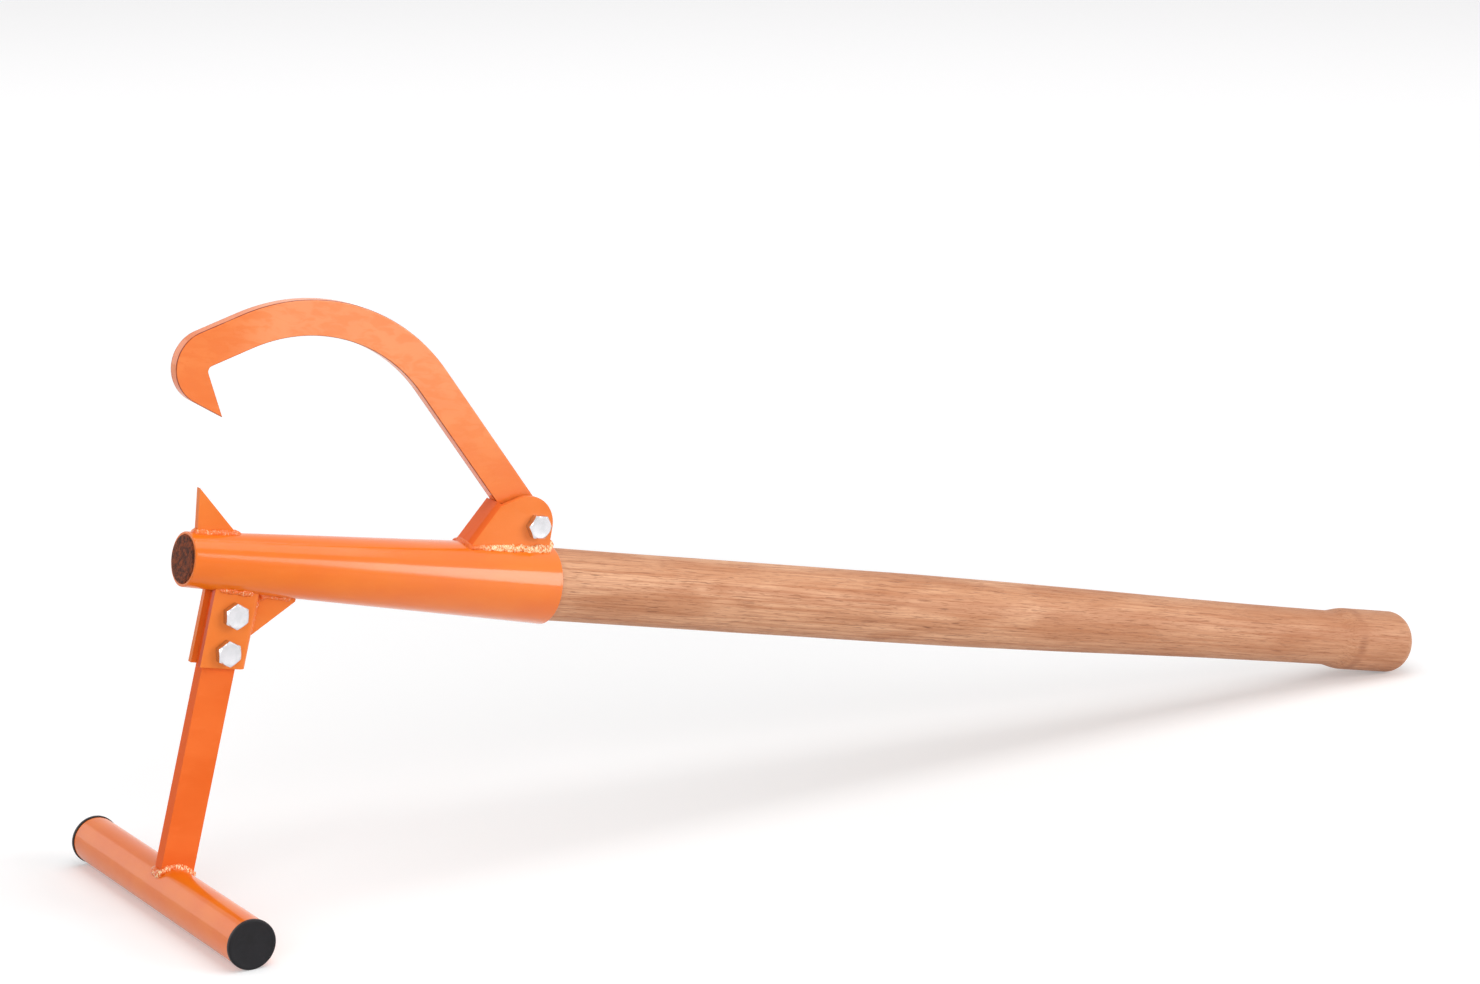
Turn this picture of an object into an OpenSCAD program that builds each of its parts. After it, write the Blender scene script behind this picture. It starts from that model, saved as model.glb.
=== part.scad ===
// Felling lever: a wooden pole wedged in a tapered steel socket. A log hook swings above the
// socket on one bolt, a fixed spike faces the hook's tooth, and a leg bolted below the front
// ends in a round T-foot. The tool stands on the foot's end caps and on the pole's butt.
//
// Pieces are drawn along the pole: X runs from the socket's front face to the butt, Y is
// across, and Z is up in the plane of the hook. stand() then tips the tool onto the floor.

/* [Socket] */
// Length of the tapered socket
socket_len = 299; // [280:1:330]
// Outer diameter at the front face
socket_front_d = 39.7; // [37:0.1:43]
// Outer diameter at the mouth
socket_mouth_d = 61.2; // [58:0.1:66]
// Thickness of the rolled sheet
socket_wall = 2.3; // [1.6:0.1:3]

/* [Handle] */
// Length from the socket's front face to the end of the butt
handle_len = 1197; // [1000:1:1400]
// Wood that stands out of the front face
handle_stub = 1; // [0.4:0.1:3]
// Play between wood and steel at the front face
front_gap = 0.2; // [0.1:0.05:0.4]
// Play between wood and steel at the mouth
mouth_gap = 0.6; // [0.3:0.1:1.5]
// Growth in radius from the mouth to the belly
belly_swell = 0.6; // [0:0.1:3]
// Distance of the belly from the mouth
belly_at = 330; // [250:5:500]
// Diameter of the neck ahead of the butt
neck_d = 47.9; // [44:0.1:52]
// Distance of the neck from the end of the butt
neck_back = 94; // [80:1:120]
// Length of the ramp from the neck up to the butt
neck_ramp = 24; // [12:1:30]
// Diameter of the butt
butt_d = 54.2; // [53:0.1:60]
// Rounding of the butt's edge, measured across the handle
butt_round = 20; // [12:0.5:22]
// Rounding of the butt's edge, measured along the handle
butt_round_len = 16.5; // [10:0.5:22]

/* [Spike] */
// Thickness of the spike plate
spike_t = 5; // [4:0.5:7]
// Distance of the spike's foot from the front face
spike_at = 6.6; // [5:0.1:12]
// Length of the foot along the socket
spike_base = 31; // [26:0.5:40]
// Height of the tip above the steel
spike_h = 32; // [24:0.5:40]
// Distance that the tip leans out ahead of the foot
spike_lean = 3.4; // [0:0.1:4.5]

/* [Hook] */
// Width of the hook bar
hook_w = 26; // [23:0.5:28]
// Thickness of the hook bar
hook_t = 10; // [8:0.5:12]
// Length of the straight arm, from the bolt to the bow
hook_arm = 143.5; // [130:0.5:160]
// Radius of the bow at the middle of the bar
bow_r = 134; // [120:1:145]
// Angle that the bow turns through
bow_angle = 71.7; // [66:0.1:76]
// Length from the bow to the inner face of the tooth
tooth_at = 37.2; // [33:0.1:44]
// Length of the tooth inside the bar
tooth_len = 38; // [30:0.5:42]
// Fillet in the corner of the tooth
tooth_fillet = 4; // [2:0.5:6]
// Radius of the rounded nose
nose_r = 27; // [25:0.5:29]
// Distance of the nose's centre behind the face of the tooth
nose_back = 3.2; // [1:0.1:5]
// Rise of the arm at rest, measured from the direction of the butt
hook_rest = 136.2; // [134:0.1:140]

/* [Hook clevis] */
// Distance of the hook bolt ahead of the mouth
pivot_back = 20.2; // [18:0.1:26]
// Clearance of the hook's eye above the steel
eye_gap = 2.7; // [1.5:0.1:5]
// Thickness of the bent clevis plate
clevis_t = 4.5; // [4:0.5:6]
// Play at each side of the hook
hook_play = 2.5; // [0.3:0.1:3]
// Outer radius of the clevis bends
clevis_bend = 5; // [4.5:0.5:8]
// Radius of the rounded top of the ears
ear_r = 22; // [19:0.5:23]
// Distance of that rounding's centre ahead of the bolt
ear_ahead = 8.5; // [7.5:0.5:10]
// Distance from the bolt along the arm to the stop edge
stop_at = 35.7; // [34:0.1:38]
// Slope of the web below the stop edge
web_angle = 58; // [54:0.5:64]
// Clearance between the hook at rest and the stop edge
stop_gap = 0.3; // [0.2:0.05:0.5]

/* [Leg bracket] */
// Distance of the leg's centre line from the front face, at the steel
bracket_at = 41; // [38:0.5:60]
// Lean of the leg and its bracket, foot forward
leg_lean = 2.7; // [1:0.1:6]
// Height of the bracket below the steel
bracket_h = 54.3; // [52:0.1:70]
// Thickness of the bent bracket plate
bracket_t = 4.5; // [3.5:0.5:6]
// Outer radius of the bracket bends
bracket_bend = 6; // [6:0.5:8]
// Distance that the flanges stand ahead of the leg
bracket_lip = 4; // [0:0.1:5]
// Distance of the upper leg bolt below the steel
leg_bolt_first = 15; // [14:0.5:18]
// Distance between the leg bolts
leg_bolt_pitch = 27.5; // [24:0.5:28]
// Thickness of the gusset
gusset_t = 5; // [4:0.5:7]
// Length of the gusset along the socket
gusset_len = 32; // [28:0.5:60]
// Height of the gusset down the bracket
gusset_h = 31.5; // [25:0.5:45]
// Height of the gusset's blunt tip
gusset_tip = 2; // [1.5:0.1:6]

/* [Leg and foot] */
// Width of the leg bar
leg_w = 26.2; // [24:0.2:30]
// Thickness of the leg bar
leg_t = 10.5; // [8:0.5:12]
// Play at each side of the leg
leg_play = 0.3; // [0.2:0.05:0.5]
// Gap between the leg's rear edge and the bracket's web
leg_slack = 2.3; // [1:0.1:4]
// Gap between the leg's upper end and the steel
leg_top_gap = 2; // [1:0.5:4]
// Distance from the steel down to the foot's axis
leg_drop = 221.4; // [180:0.2:260]
// Diameter of the foot tube
foot_d = 35.2; // [33:0.1:42]
// Length of the foot tube
foot_len = 263; // [200:1:320]
// Wall of the foot tube
foot_wall = 2.5; // [1.5:0.1:4]
// Diameter of the end caps
cap_d = 36.4; // [35.4:0.1:44]
// Thickness of a cap's face
cap_t = 3.5; // [2.5:0.5:6]
// Rounding of a cap's rim
cap_round = 1.2; // [0.5:0.1:2]
// Length of a cap's plug inside the tube
plug_len = 14; // [8:1:24]
// Wall of a cap's plug
plug_wall = 1.8; // [1.2:0.1:3]
// Clearance of a cap's plug in the tube
plug_gap = 0.15; // [0.05:0.05:0.3]

/* [Fasteners] */
// Diameter of the bolts
bolt_d = 10; // [8:0.5:12]
// Radial clearance of the bolt holes
hole_gap = 0.3; // [0.3:0.05:0.5]
// Width of heads and nuts across the flats
hex_w = 17; // [16:0.5:19]
// Height of the bolt heads
head_h = 6.4; // [5:0.2:8]
// Height of the leg nuts
nut_h = 8; // [7:0.5:12]
// Height of the hook bolt's lock nut
lock_nut_h = 10; // [9:0.5:14]
// Radial clearance between a nut and its bolt
thread_gap = 0.1; // [0.05:0.05:0.2]
// Diameter of the washers
washer_d = 20; // [19:0.5:24]
// Thickness of the washers
washer_t = 2; // [1.5:0.5:3]
// Bolt end that shows past a nut
bolt_tail = 3; // [1:0.5:8]
// Radius of the weld beads
weld_r = 4.2; // [3:0.1:5]

/* [Hidden] */

PAINT = [0.96, 0.42, 0.14];
PAINT_DEEP = [0.90, 0.36, 0.10];
WOOD = [0.78, 0.55, 0.38];
ZINC = [0.82, 0.83, 0.85];
BLACK = [0.09, 0.09, 0.10];

// Amount that an arc is let into the straight edges it runs onto
blend = 0.01;
// Distance of a weld bead's axis inside the face it is laid against
weld_in = 0.4;
// Corners of the hook bolt's head and of the leg bolts' heads, turned from the X axis
hook_bolt_turn = -2;
leg_bolt_turns = [19, 16];

front_r = socket_front_d / 2;
mouth_r = socket_mouth_d / 2;
bolt_r = bolt_d / 2;
hole_r = bolt_r + hole_gap;
foot_r = foot_d / 2;
cap_r = cap_d / 2;
butt_r = butt_d / 2;

// Outer radius of the socket at a distance x from the front face
function cone_r(x) = front_r + (mouth_r - front_r) * x / socket_len;
// Height of the socket's surface above or below the axis, at x and a distance y across
function steel_z(x, y) = sqrt(pow(cone_r(x), 2) - y * y);
// Smooth step from a to b as s runs from 0 to 1
function ease(a, b, s) = a + (b - a) * (1 - cos(180 * s)) / 2;
function polar(r, a) = [r * cos(a), r * sin(a)];
function angle_of(v) = atan2(v.y, v.x);
// Point where a line from p touches a circle, on the clockwise side seen from the centre
function tangent_point(p, c, r) = c + polar(r, angle_of(p - c) - acos(r / norm(p - c)));

// Hook bolt, in the XZ plane
pivot = [socket_len - pivot_back, cone_r(socket_len - pivot_back) + eye_gap + hook_w / 2];
clevis_w = hook_t + 2 * (hook_play + clevis_t);
arm_dir = polar(1, hook_rest);
arm_left = polar(1, hook_rest + 90);
stop_edge = pivot + arm_dir * stop_at + arm_left * (hook_w / 2 + stop_gap / 2);
ear_front = stop_edge - arm_dir * clevis_t * 0.7;
ear_centre = pivot - [ear_ahead, 0];
ear_back = ear_centre.x + ear_r;
// Point where the web's front face, carried on downwards, meets the steel
web_foot_x = stop_edge.x - (stop_edge.y - cone_r(stop_edge.x)) / tan(web_angle);

// Leg frame: its origin is on the steel at the leg's centre line, its Z runs up the leg
leg_origin = [bracket_at, -cone_r(bracket_at)];
bracket_w = leg_t + 2 * (leg_play + bracket_t);
bracket_back = leg_w / 2 + leg_slack + bracket_t;
bracket_front = -leg_w / 2 - bracket_lip;
// The leg bolts stand in the middle of the bracket's flanges
flange_mid = (bracket_front + bracket_back) / 2;
leg_bolts_at = [for (drop = [0, leg_bolt_pitch]) [flange_mid, -leg_bolt_first - drop]];
// Slope of the steel's underside, seen from the leg's frame
under_slope = leg_lean - atan((mouth_r - front_r) / socket_len);

// The tool stands on the caps and on the butt's rounded edge. The butt's support is that of
// its elliptical edge, so the pitch is found in a few steps from the caps' own radius.
foot_c = leg_origin - leg_drop * [sin(leg_lean), cos(leg_lean)];
butt_c = [handle_len - butt_round_len, butt_r - butt_round];
to_butt = [butt_c.x, -butt_c.y] - foot_c;
function edge_reach(along, across) = norm([butt_round_len * along, butt_round * across]);
function settle(p, steps) = steps == 0 ? p
    : settle(angle_of(to_butt) + asin((cap_r - edge_reach(sin(p), cos(p))) / norm(to_butt)), steps - 1);
pitch = settle(angle_of(to_butt), 4);
lift = foot_c.x * sin(pitch) - foot_c.y * cos(pitch) + cap_r;
front_x = foot_c.x * cos(pitch) + foot_c.y * sin(pitch) - cap_r;
back_x = butt_c.x * cos(pitch) + butt_c.y * sin(pitch) + edge_reach(cos(pitch), sin(pitch));

$fn = 96;

// Tips the tool until it stands, with the origin under the middle of its length
module stand() {
    translate([-(front_x + back_x) / 2, 0, lift]) rotate([0, pitch, 0]) children();
}

// A plate in the XZ plane, centred across, from an outline in X and Z
module plate(t) {
    rotate([90, 0, 0]) linear_extrude(t, center = true) children();
}

// Moves pieces to a point p of the XZ plane, with Z along their own axis from y towards +Y
module across(p, y) {
    translate([p.x, y, p.y]) rotate([-90, 0, 0]) children();
}

// Moves pieces from the leg's frame to the pole's
module on_leg() {
    translate([leg_origin.x, 0, leg_origin.y]) rotate([0, leg_lean, 0]) children();
}

// The whole cone of the socket, which everything welded to it is cut to
module cone_body() {
    rotate([0, 90, 0]) cylinder(h = socket_len, r1 = front_r, r2 = mouth_r);
}

// A bar of width w and depth d below y = 0, with its two upper corners rounded
module round_bar(w, d, r) {
    translate([-w / 2, -d]) square([w, d - r]);
    translate([-w / 2 + r, -r]) square([w - 2 * r, r]);
    for (side = [-1, 1]) translate([side * (w / 2 - r), -r]) circle(r);
}

// Section of a plate bent into a channel, with its web along y = 0 and its flanges below
module channel(w, d, t, bend) {
    difference() {
        round_bar(w, d, bend);
        translate([0, -t]) round_bar(w - 2 * t, d, bend - t);
    }
}

// A weld bead from p to q, with tapered ends
module bead(p, q, r) {
    run = norm(q - p);
    d = q - p;
    translate(p)
        rotate([0, acos(d.z / run), atan2(d.y, d.x)])
            rotate(50)
                rotate_extrude($fn = 48)
                    polygon([
                        [0, -r / 2], [r / 2, -r / 2], [r, 0], [r, run],
                        [r / 2, run + r / 2], [0, run + r / 2]
                    ]);
}

// A bead along the steel between x0 and x1, at a distance y across, above or below the cone
module seam(x0, x1, y, side, r) {
    bead([x0, y, side * steel_z(x0, y)], [x1, y, side * steel_z(x1, y)], r);
}

// Hexagon across the flats, with the corners of one or both ends chamfered at 30 degrees
module hex_prism(w, h, both) {
    crown_r = 0.47 * w;
    wide_r = 0.62 * w;
    drop = (wide_r - crown_r) * tan(30);
    foot = both ? [[crown_r, 0], [wide_r, drop]] : [[wide_r, 0]];
    intersection() {
        cylinder(h = h, r = w / sqrt(3), $fn = 6);
        rotate_extrude() polygon(concat([[0, 0]], foot, [[wide_r, h - drop], [crown_r, h], [0, h]]));
    }
}

// A bolt with its head below z = 0, its shank running up, and its corners turned by turn
module bolt(grip, nut, turn) {
    shank = grip + washer_t + nut + bolt_tail;
    mirror([0, 0, 1]) rotate(turn) hex_prism(hex_w, head_h, false);
    rotate_extrude()
        polygon([[0, -1], [bolt_r, -1], [bolt_r, shank - 1], [bolt_r - 1, shank], [0, shank]]);
}

module washer() {
    difference() {
        cylinder(h = washer_t, r = washer_d / 2);
        translate([0, 0, -1]) cylinder(h = washer_t + 2, r = hole_r);
    }
}

module nut(h) {
    difference() {
        hex_prism(hex_w, h, true);
        translate([0, 0, -1]) cylinder(h = h + 2, r = bolt_r + thread_gap);
    }
}

// A lock nut: a hexagon with the round collar that holds its ring above it
module lock_nut(h) {
    collar_r = 0.44 * hex_w;
    hex_h = 0.7 * h;
    difference() {
        union() {
            hex_prism(hex_w, hex_h, true);
            rotate_extrude()
                polygon([
                    [0, hex_h - 1], [collar_r, hex_h - 1], [collar_r, h - 0.8],
                    [collar_r - 0.8, h], [0, h]
                ]);
        }
        translate([0, 0, -1]) cylinder(h = h + 2, r = bolt_r + thread_gap);
    }
}

// Radius of the wood at a distance x from the front face, up to the start of the rounding
function wood_r(x) =
    let (
        front = front_r - socket_wall - front_gap,
        mouth = mouth_r - socket_wall - mouth_gap,
        belly_x = socket_len + belly_at,
        neck_x = handle_len - neck_back
    )
    x <= socket_len ? front + (mouth - front) * max(x, 0) / socket_len
    : x <= belly_x ? ease(mouth, mouth + belly_swell, (x - socket_len) / belly_at)
    : x <= neck_x ? ease(mouth + belly_swell, neck_d / 2, (x - belly_x) / (neck_x - belly_x))
    : ease(neck_d / 2, butt_r, min(1, (x - neck_x) / neck_ramp));

module handle() {
    neck_x = handle_len - neck_back;
    belly_x = socket_len + belly_at;
    stations = concat(
        [-handle_stub, 0, socket_len],
        [for (i = [1:8]) socket_len + belly_at * i / 8],
        [for (i = [1:14]) belly_x + (neck_x - belly_x) * i / 14],
        [for (i = [1:8]) neck_x + neck_ramp * i / 8]
    );
    side = [for (x = stations) [wood_r(x), x]];
    edge = [for (a = [0:10:90])
        [butt_c.y + butt_round * cos(a), butt_c.x + butt_round_len * sin(a)]];
    color(WOOD)
        rotate([0, 90, 0])
            rotate_extrude()
                polygon(concat([[0, -handle_stub]], side, edge, [[0, handle_len]]));
}

module socket() {
    bore_front = front_r - socket_wall;
    bore_mouth = mouth_r - socket_wall;
    color(PAINT)
        rotate([0, 90, 0])
            rotate_extrude()
                polygon([
                    [bore_front, 0], [front_r, 0],
                    [mouth_r, socket_len], [bore_mouth, socket_len]
                ]);
}

module spike() {
    back_x = spike_at + spike_base;
    tip = [spike_at - spike_lean, cone_r(spike_at) + spike_h];
    color(PAINT)
        difference() {
            plate(spike_t)
                polygon([
                    [spike_at, 0], [back_x, 0], [back_x, cone_r(back_x)], tip,
                    [spike_at, cone_r(spike_at)]
                ]);
            cone_body();
        }
}

module spike_weld() {
    color(PAINT)
        difference() {
            for (side = [-1, 1])
                seam(spike_at + 0.5, spike_at + spike_base + 2, side * (spike_t / 2 - weld_in), 1, weld_r);
            cone_body();
            spike();
        }
}

// Point of the hook beyond the bow, from a point in the frame of its last straight
function beyond_bow(p) =
    let (q = p - [0, bow_r])
    [hook_arm, bow_r] + [
        q.x * cos(bow_angle) - q.y * sin(bow_angle),
        q.x * sin(bow_angle) + q.y * cos(bow_angle)
    ];

// Bar of the hook from the eye to the nose: one straight outline with the bow's arcs let in
module hook_bar(nose_x) {
    half = hook_w / 2;
    outer_r = bow_r + half + blend;
    chord = outer_r * cos(bow_angle / 2) - 2;
    difference() {
        union() {
            polygon([
                [0, -half], [hook_arm, -half], beyond_bow([0, -half]), beyond_bow([nose_x, -half]),
                beyond_bow([tooth_at + 2, half]), beyond_bow([0, half]), [hook_arm, half], [0, half]
            ]);
            intersection() {
                translate([hook_arm, bow_r]) circle(outer_r, $fn = 360);
                translate([hook_arm, bow_r]) rotate(bow_angle / 2)
                    translate([-outer_r, -2 * outer_r]) square([2 * outer_r, 2 * outer_r - chord]);
            }
        }
        translate([hook_arm, bow_r]) circle(bow_r - half + blend, $fn = 360);
    }
}

// Outline of the hook, with its eye at the origin and its arm along X. The bow turns the bar
// to the left. The tooth stands square inside the bar, and one line from its point runs onto
// the rounded nose.
module hook_outline() {
    half = hook_w / 2;
    nose_c = [tooth_at - nose_back, nose_r - half];
    tip = [tooth_at, half + tooth_len];
    difference() {
        union() {
            circle(half);
            hook_bar(nose_c.x);
            translate([hook_arm, bow_r]) rotate(bow_angle) translate([0, -bow_r]) {
                difference() {
                    translate(nose_c) circle(nose_r + blend);
                    translate([nose_c.x - 2 - 2 * nose_r, -2 * nose_r]) square([2 * nose_r, 4 * nose_r]);
                    translate([0, half - 2]) square([tooth_at + 1, 2 * nose_r]);
                }
                polygon([[tooth_at, 0], tangent_point(tip, nose_c, nose_r), tip]);
                difference() {
                    translate([tooth_at - tooth_fillet, half - 1]) square(tooth_fillet + 1);
                    translate([tooth_at, half] + tooth_fillet * [-1, 1]) circle(tooth_fillet + blend);
                }
            }
        }
        circle(hole_r);
    }
}

module hook() {
    color(PAINT)
        translate([pivot.x, 0, pivot.y]) plate(hook_t) rotate(hook_rest) hook_outline();
}

// Side of the clevis: its top lies along the arm of the resting hook at the web, and the ears
// run on from there in one rounded top. The outline starts ahead of the web, which ends it.
module clevis_side() {
    start = stop_edge + arm_dir * 6;
    translate(ear_centre) circle(ear_r + blend);
    polygon([
        [ear_back, 0], ear_centre + [ear_r, 0], ear_centre,
        tangent_point(ear_front, ear_centre, ear_r), ear_front, start, [web_foot_x - ear_r, 0]
    ]);
}

// The notch between the ears leaves the web's edge as the hook's stop
module hook_clevis() {
    reach = 4 * ear_r;
    color(PAINT)
        difference() {
            intersection() {
                translate([stop_edge.x, 0, stop_edge.y])
                    rotate([0, -web_angle, 0])
                        translate([-reach, 0, 0])
                            rotate([90, 0, 90])
                                linear_extrude(2 * reach)
                                    channel(clevis_w, reach, clevis_t, clevis_bend);
                plate(2 * clevis_w) clevis_side();
            }
            plate(clevis_w - 2 * clevis_t + 0.8)
                translate(pivot) rotate(hook_rest)
                    translate([stop_at - 2 * clevis_t, hook_w / 2 + stop_gap - 12])
                        square([3 * clevis_t, 12]);
            cone_body();
            across(pivot, -clevis_w) cylinder(h = 2 * clevis_w, r = hole_r);
        }
}

module clevis_weld() {
    half = clevis_w / 2;
    front_z = steel_z(web_foot_x, half / 2);
    color(PAINT)
        difference() {
            union() {
                for (side = [-1, 1])
                    seam(web_foot_x + 2, ear_back + 3, side * (half - weld_in), 1, weld_r + 0.6);
                bead([web_foot_x, -half + 1, front_z], [web_foot_x, half - 1, front_z], weld_r);
            }
            cone_body();
            hook_clevis();
            plate(clevis_w - 2 * clevis_t + 0.02)
                translate([web_foot_x + clevis_t / 2, 0]) square(4 * ear_r);
        }
}

module hook_bolt() {
    color(ZINC) across(pivot, -clevis_w / 2) bolt(clevis_w, lock_nut_h, hook_bolt_turn);
}

module hook_washer() {
    color(ZINC) across(pivot, clevis_w / 2) washer();
}

module hook_nut() {
    color(ZINC)
        across(pivot, clevis_w / 2 + washer_t) rotate(hook_bolt_turn + 20) lock_nut(lock_nut_h);
}

// Bolt holes of the bracket and the leg, in the leg's frame
module leg_holes() {
    for (p = leg_bolts_at) across(p, -bracket_w) cylinder(h = 2 * bracket_w, r = hole_r);
}

// The bracket leans with the leg, and its lower edge is cut parallel to the pole
module leg_bracket() {
    depth = bracket_back - bracket_front;
    color(PAINT_DEEP)
        difference() {
            on_leg()
                difference() {
                    translate([bracket_back, 0, -bracket_h - depth])
                        rotate(-90)
                            linear_extrude(bracket_h + depth + front_r)
                                channel(bracket_w, depth, bracket_t, bracket_bend);
                    leg_holes();
                }
            translate([bracket_at - 2 * depth, -bracket_w, leg_origin.y - bracket_h - 2 * depth])
                cube([4 * depth, 2 * bracket_w, 2 * depth]);
            cone_body();
        }
}

module bracket_weld() {
    color(PAINT_DEEP)
        difference() {
            for (side = [-1, 1])
                seam(bracket_at + bracket_front + 3, bracket_at + bracket_back - bracket_bend,
                    side * (bracket_w / 2 - weld_in), -1, weld_r);
            cone_body();
            leg_bracket();
            on_leg() plate(bracket_w - 2 * bracket_t + 0.02) square(4 * leg_w, center = true);
        }
}

module gusset() {
    end_x = bracket_back + gusset_len;
    color(PAINT_DEEP)
        difference() {
            on_leg()
                plate(gusset_t)
                    polygon([
                        [bracket_back, front_r], [bracket_back, -gusset_h],
                        [end_x, end_x * tan(under_slope) - gusset_tip], [end_x, front_r]
                    ]);
            cone_body();
        }
}

module gusset_weld() {
    x0 = bracket_at + bracket_back;
    color(PAINT_DEEP)
        difference() {
            union() {
                for (side = [-1, 1]) {
                    y = side * (gusset_t / 2 - weld_in);
                    seam(x0 + 2, x0 + gusset_len - 4, y, -1, weld_r - 0.7);
                    on_leg()
                        bead([bracket_back, y, -2], [bracket_back, y, 3 - gusset_h], weld_r - 0.7);
                }
            }
            cone_body();
            leg_bracket();
            gusset();
        }
}

module leg() {
    color(PAINT_DEEP)
        on_leg()
            difference() {
                translate([-leg_w / 2, -leg_t / 2, -leg_drop])
                    cube([leg_w, leg_t, leg_drop - leg_top_gap]);
                leg_holes();
                across([0, -leg_drop], -foot_len / 2) cylinder(h = foot_len, r = foot_r);
            }
}

module leg_bolts() {
    color(ZINC)
        on_leg()
            for (i = [0, 1])
                across(leg_bolts_at[i], -bracket_w / 2) bolt(bracket_w, nut_h, leg_bolt_turns[i]);
}

module leg_washers() {
    color(ZINC) on_leg() for (p = leg_bolts_at) across(p, bracket_w / 2) washer();
}

module leg_nuts() {
    color(ZINC)
        on_leg()
            for (i = [0, 1])
                across(leg_bolts_at[i], bracket_w / 2 + washer_t)
                    rotate(leg_bolt_turns[1 - i]) nut(nut_h);
}

module foot_tube() {
    color(PAINT)
        on_leg()
            across([0, -leg_drop], -foot_len / 2)
                difference() {
                    cylinder(h = foot_len, r = foot_r);
                    translate([0, 0, -1]) cylinder(h = foot_len + 2, r = foot_r - foot_wall);
                }
}

// The bead round the leg's lower end: an arc over the tube on each face, a short run at each edge
module foot_weld() {
    swing = asin(leg_w / 2 / foot_r);
    edge_z = foot_r * cos(swing) - leg_drop;
    color(PAINT)
        on_leg()
            difference() {
                for (side = [-1, 1]) {
                    across([0, -leg_drop], side * leg_t / 2)
                        rotate(-90 - swing) rotate_extrude(angle = 2 * swing)
                            translate([foot_r, 0]) circle(weld_r, $fn = 24);
                    bead([side * leg_w / 2, -leg_t / 2, edge_z], [side * leg_w / 2, leg_t / 2, edge_z],
                        weld_r - 0.4);
                }
                across([0, -leg_drop], -foot_len / 2) cylinder(h = foot_len, r = foot_r);
                translate([-leg_w / 2, -leg_t / 2, -leg_drop]) cube([leg_w, leg_t, leg_drop]);
            }
}

// A plug of moulded plastic: a face with a rounded rim, and a hollow stem inside the tube
module end_cap() {
    stem_r = foot_r - foot_wall - plug_gap;
    rotate_extrude() {
        translate([stem_r - plug_wall, -plug_len]) square([plug_wall, plug_len + cap_t / 2]);
        square([cap_r - cap_round, cap_t]);
        square([cap_r, cap_t - cap_round]);
        translate([cap_r, cap_t] - cap_round * [1, 1]) circle(cap_round);
    }
}

module cap_near() {
    color(BLACK) on_leg() across([0, -leg_drop], -foot_len / 2) mirror([0, 0, 1]) end_cap();
}

module cap_far() {
    color(BLACK) on_leg() across([0, -leg_drop], foot_len / 2) end_cap();
}

stand() handle();
stand() socket();
stand() spike();
stand() spike_weld();
stand() hook_clevis();
stand() clevis_weld();
stand() hook();
stand() hook_bolt();
stand() hook_washer();
stand() hook_nut();
stand() leg_bracket();
stand() bracket_weld();
stand() gusset();
stand() gusset_weld();
stand() leg();
stand() leg_bolts();
stand() leg_washers();
stand() leg_nuts();
stand() foot_tube();
stand() foot_weld();
stand() cap_near();
stand() cap_far();
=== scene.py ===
"""The looks of a felling lever: a turned wooden pole in a tapered steel socket, with a swinging log hook,
a fixed spike and a bolted leg on a round T-foot.

Pieces are worked out in the pole's own frame, in millimetres: x runs from the socket's front face to the
butt, y is across, and z is up in the plane of the hook. from_pole() then takes them to where the tool stands.
"""

import math

import bmesh
import bpy
import numpy as np
from mathutils import Matrix, Vector
from mathutils.geometry import tessellate_polygon


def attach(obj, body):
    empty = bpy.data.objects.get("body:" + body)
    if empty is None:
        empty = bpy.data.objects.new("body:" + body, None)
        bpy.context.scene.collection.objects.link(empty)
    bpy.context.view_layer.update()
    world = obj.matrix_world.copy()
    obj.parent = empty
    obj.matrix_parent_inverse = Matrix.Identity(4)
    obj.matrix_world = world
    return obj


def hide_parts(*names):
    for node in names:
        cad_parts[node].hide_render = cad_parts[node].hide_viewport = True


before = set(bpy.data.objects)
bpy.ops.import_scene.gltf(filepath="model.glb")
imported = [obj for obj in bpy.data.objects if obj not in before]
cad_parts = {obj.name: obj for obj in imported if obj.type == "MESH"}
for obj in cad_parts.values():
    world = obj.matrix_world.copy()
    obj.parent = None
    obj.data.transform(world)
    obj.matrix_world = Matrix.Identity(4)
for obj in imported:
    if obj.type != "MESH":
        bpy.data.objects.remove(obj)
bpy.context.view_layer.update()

MM = 0.001

# How the tool stands: the pole's slope, its height over the floor, and the middle of the overall length
POLE_SLOPE = math.radians(11.4864)
POLE_LIFT = 261.91
POLE_MIDDLE = 569.198

SOCKET_LEN = 299.0
SOCKET_FRONT_R = 19.85
SOCKET_MOUTH_R = 30.6
SOCKET_WALL = 2.3

POLE_LEN = 1197.0
POLE_STUB = 1.0
POLE_FRONT_R = 17.35
POLE_MOUTH_R = 27.7
POLE_BELLY_R = 28.3
POLE_BELLY_AT = 330.0
NECK_R = 23.95
NECK_BACK = 94.0
NECK_RAMP = 24.0
BUTT_R = 27.1
BUTT_ROUND = 20.0
BUTT_ROUND_LEN = 16.5

SPIKE_FOOT = (6.6, 37.6)
SPIKE_T = 5.0

PIVOT = (278.8, 45.5737)
HOOK_REST = math.radians(136.2)
HOOK_W = 26.0
HOOK_T = 10.0
HOOK_ARM = 143.5
BOW_R = 134.0
BOW_ANGLE = math.radians(71.7)
TOOTH_AT = 37.2
TOOTH_LEN = 38.0
TOOTH_FILLET = 4.0
NOSE_R = 27.0
NOSE_BACK = 3.2

CLEVIS_W = 24.0
CLEVIS_FOOT = (223.828, 292.3)
CLEVIS_SLOPE = math.radians(58)

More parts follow.
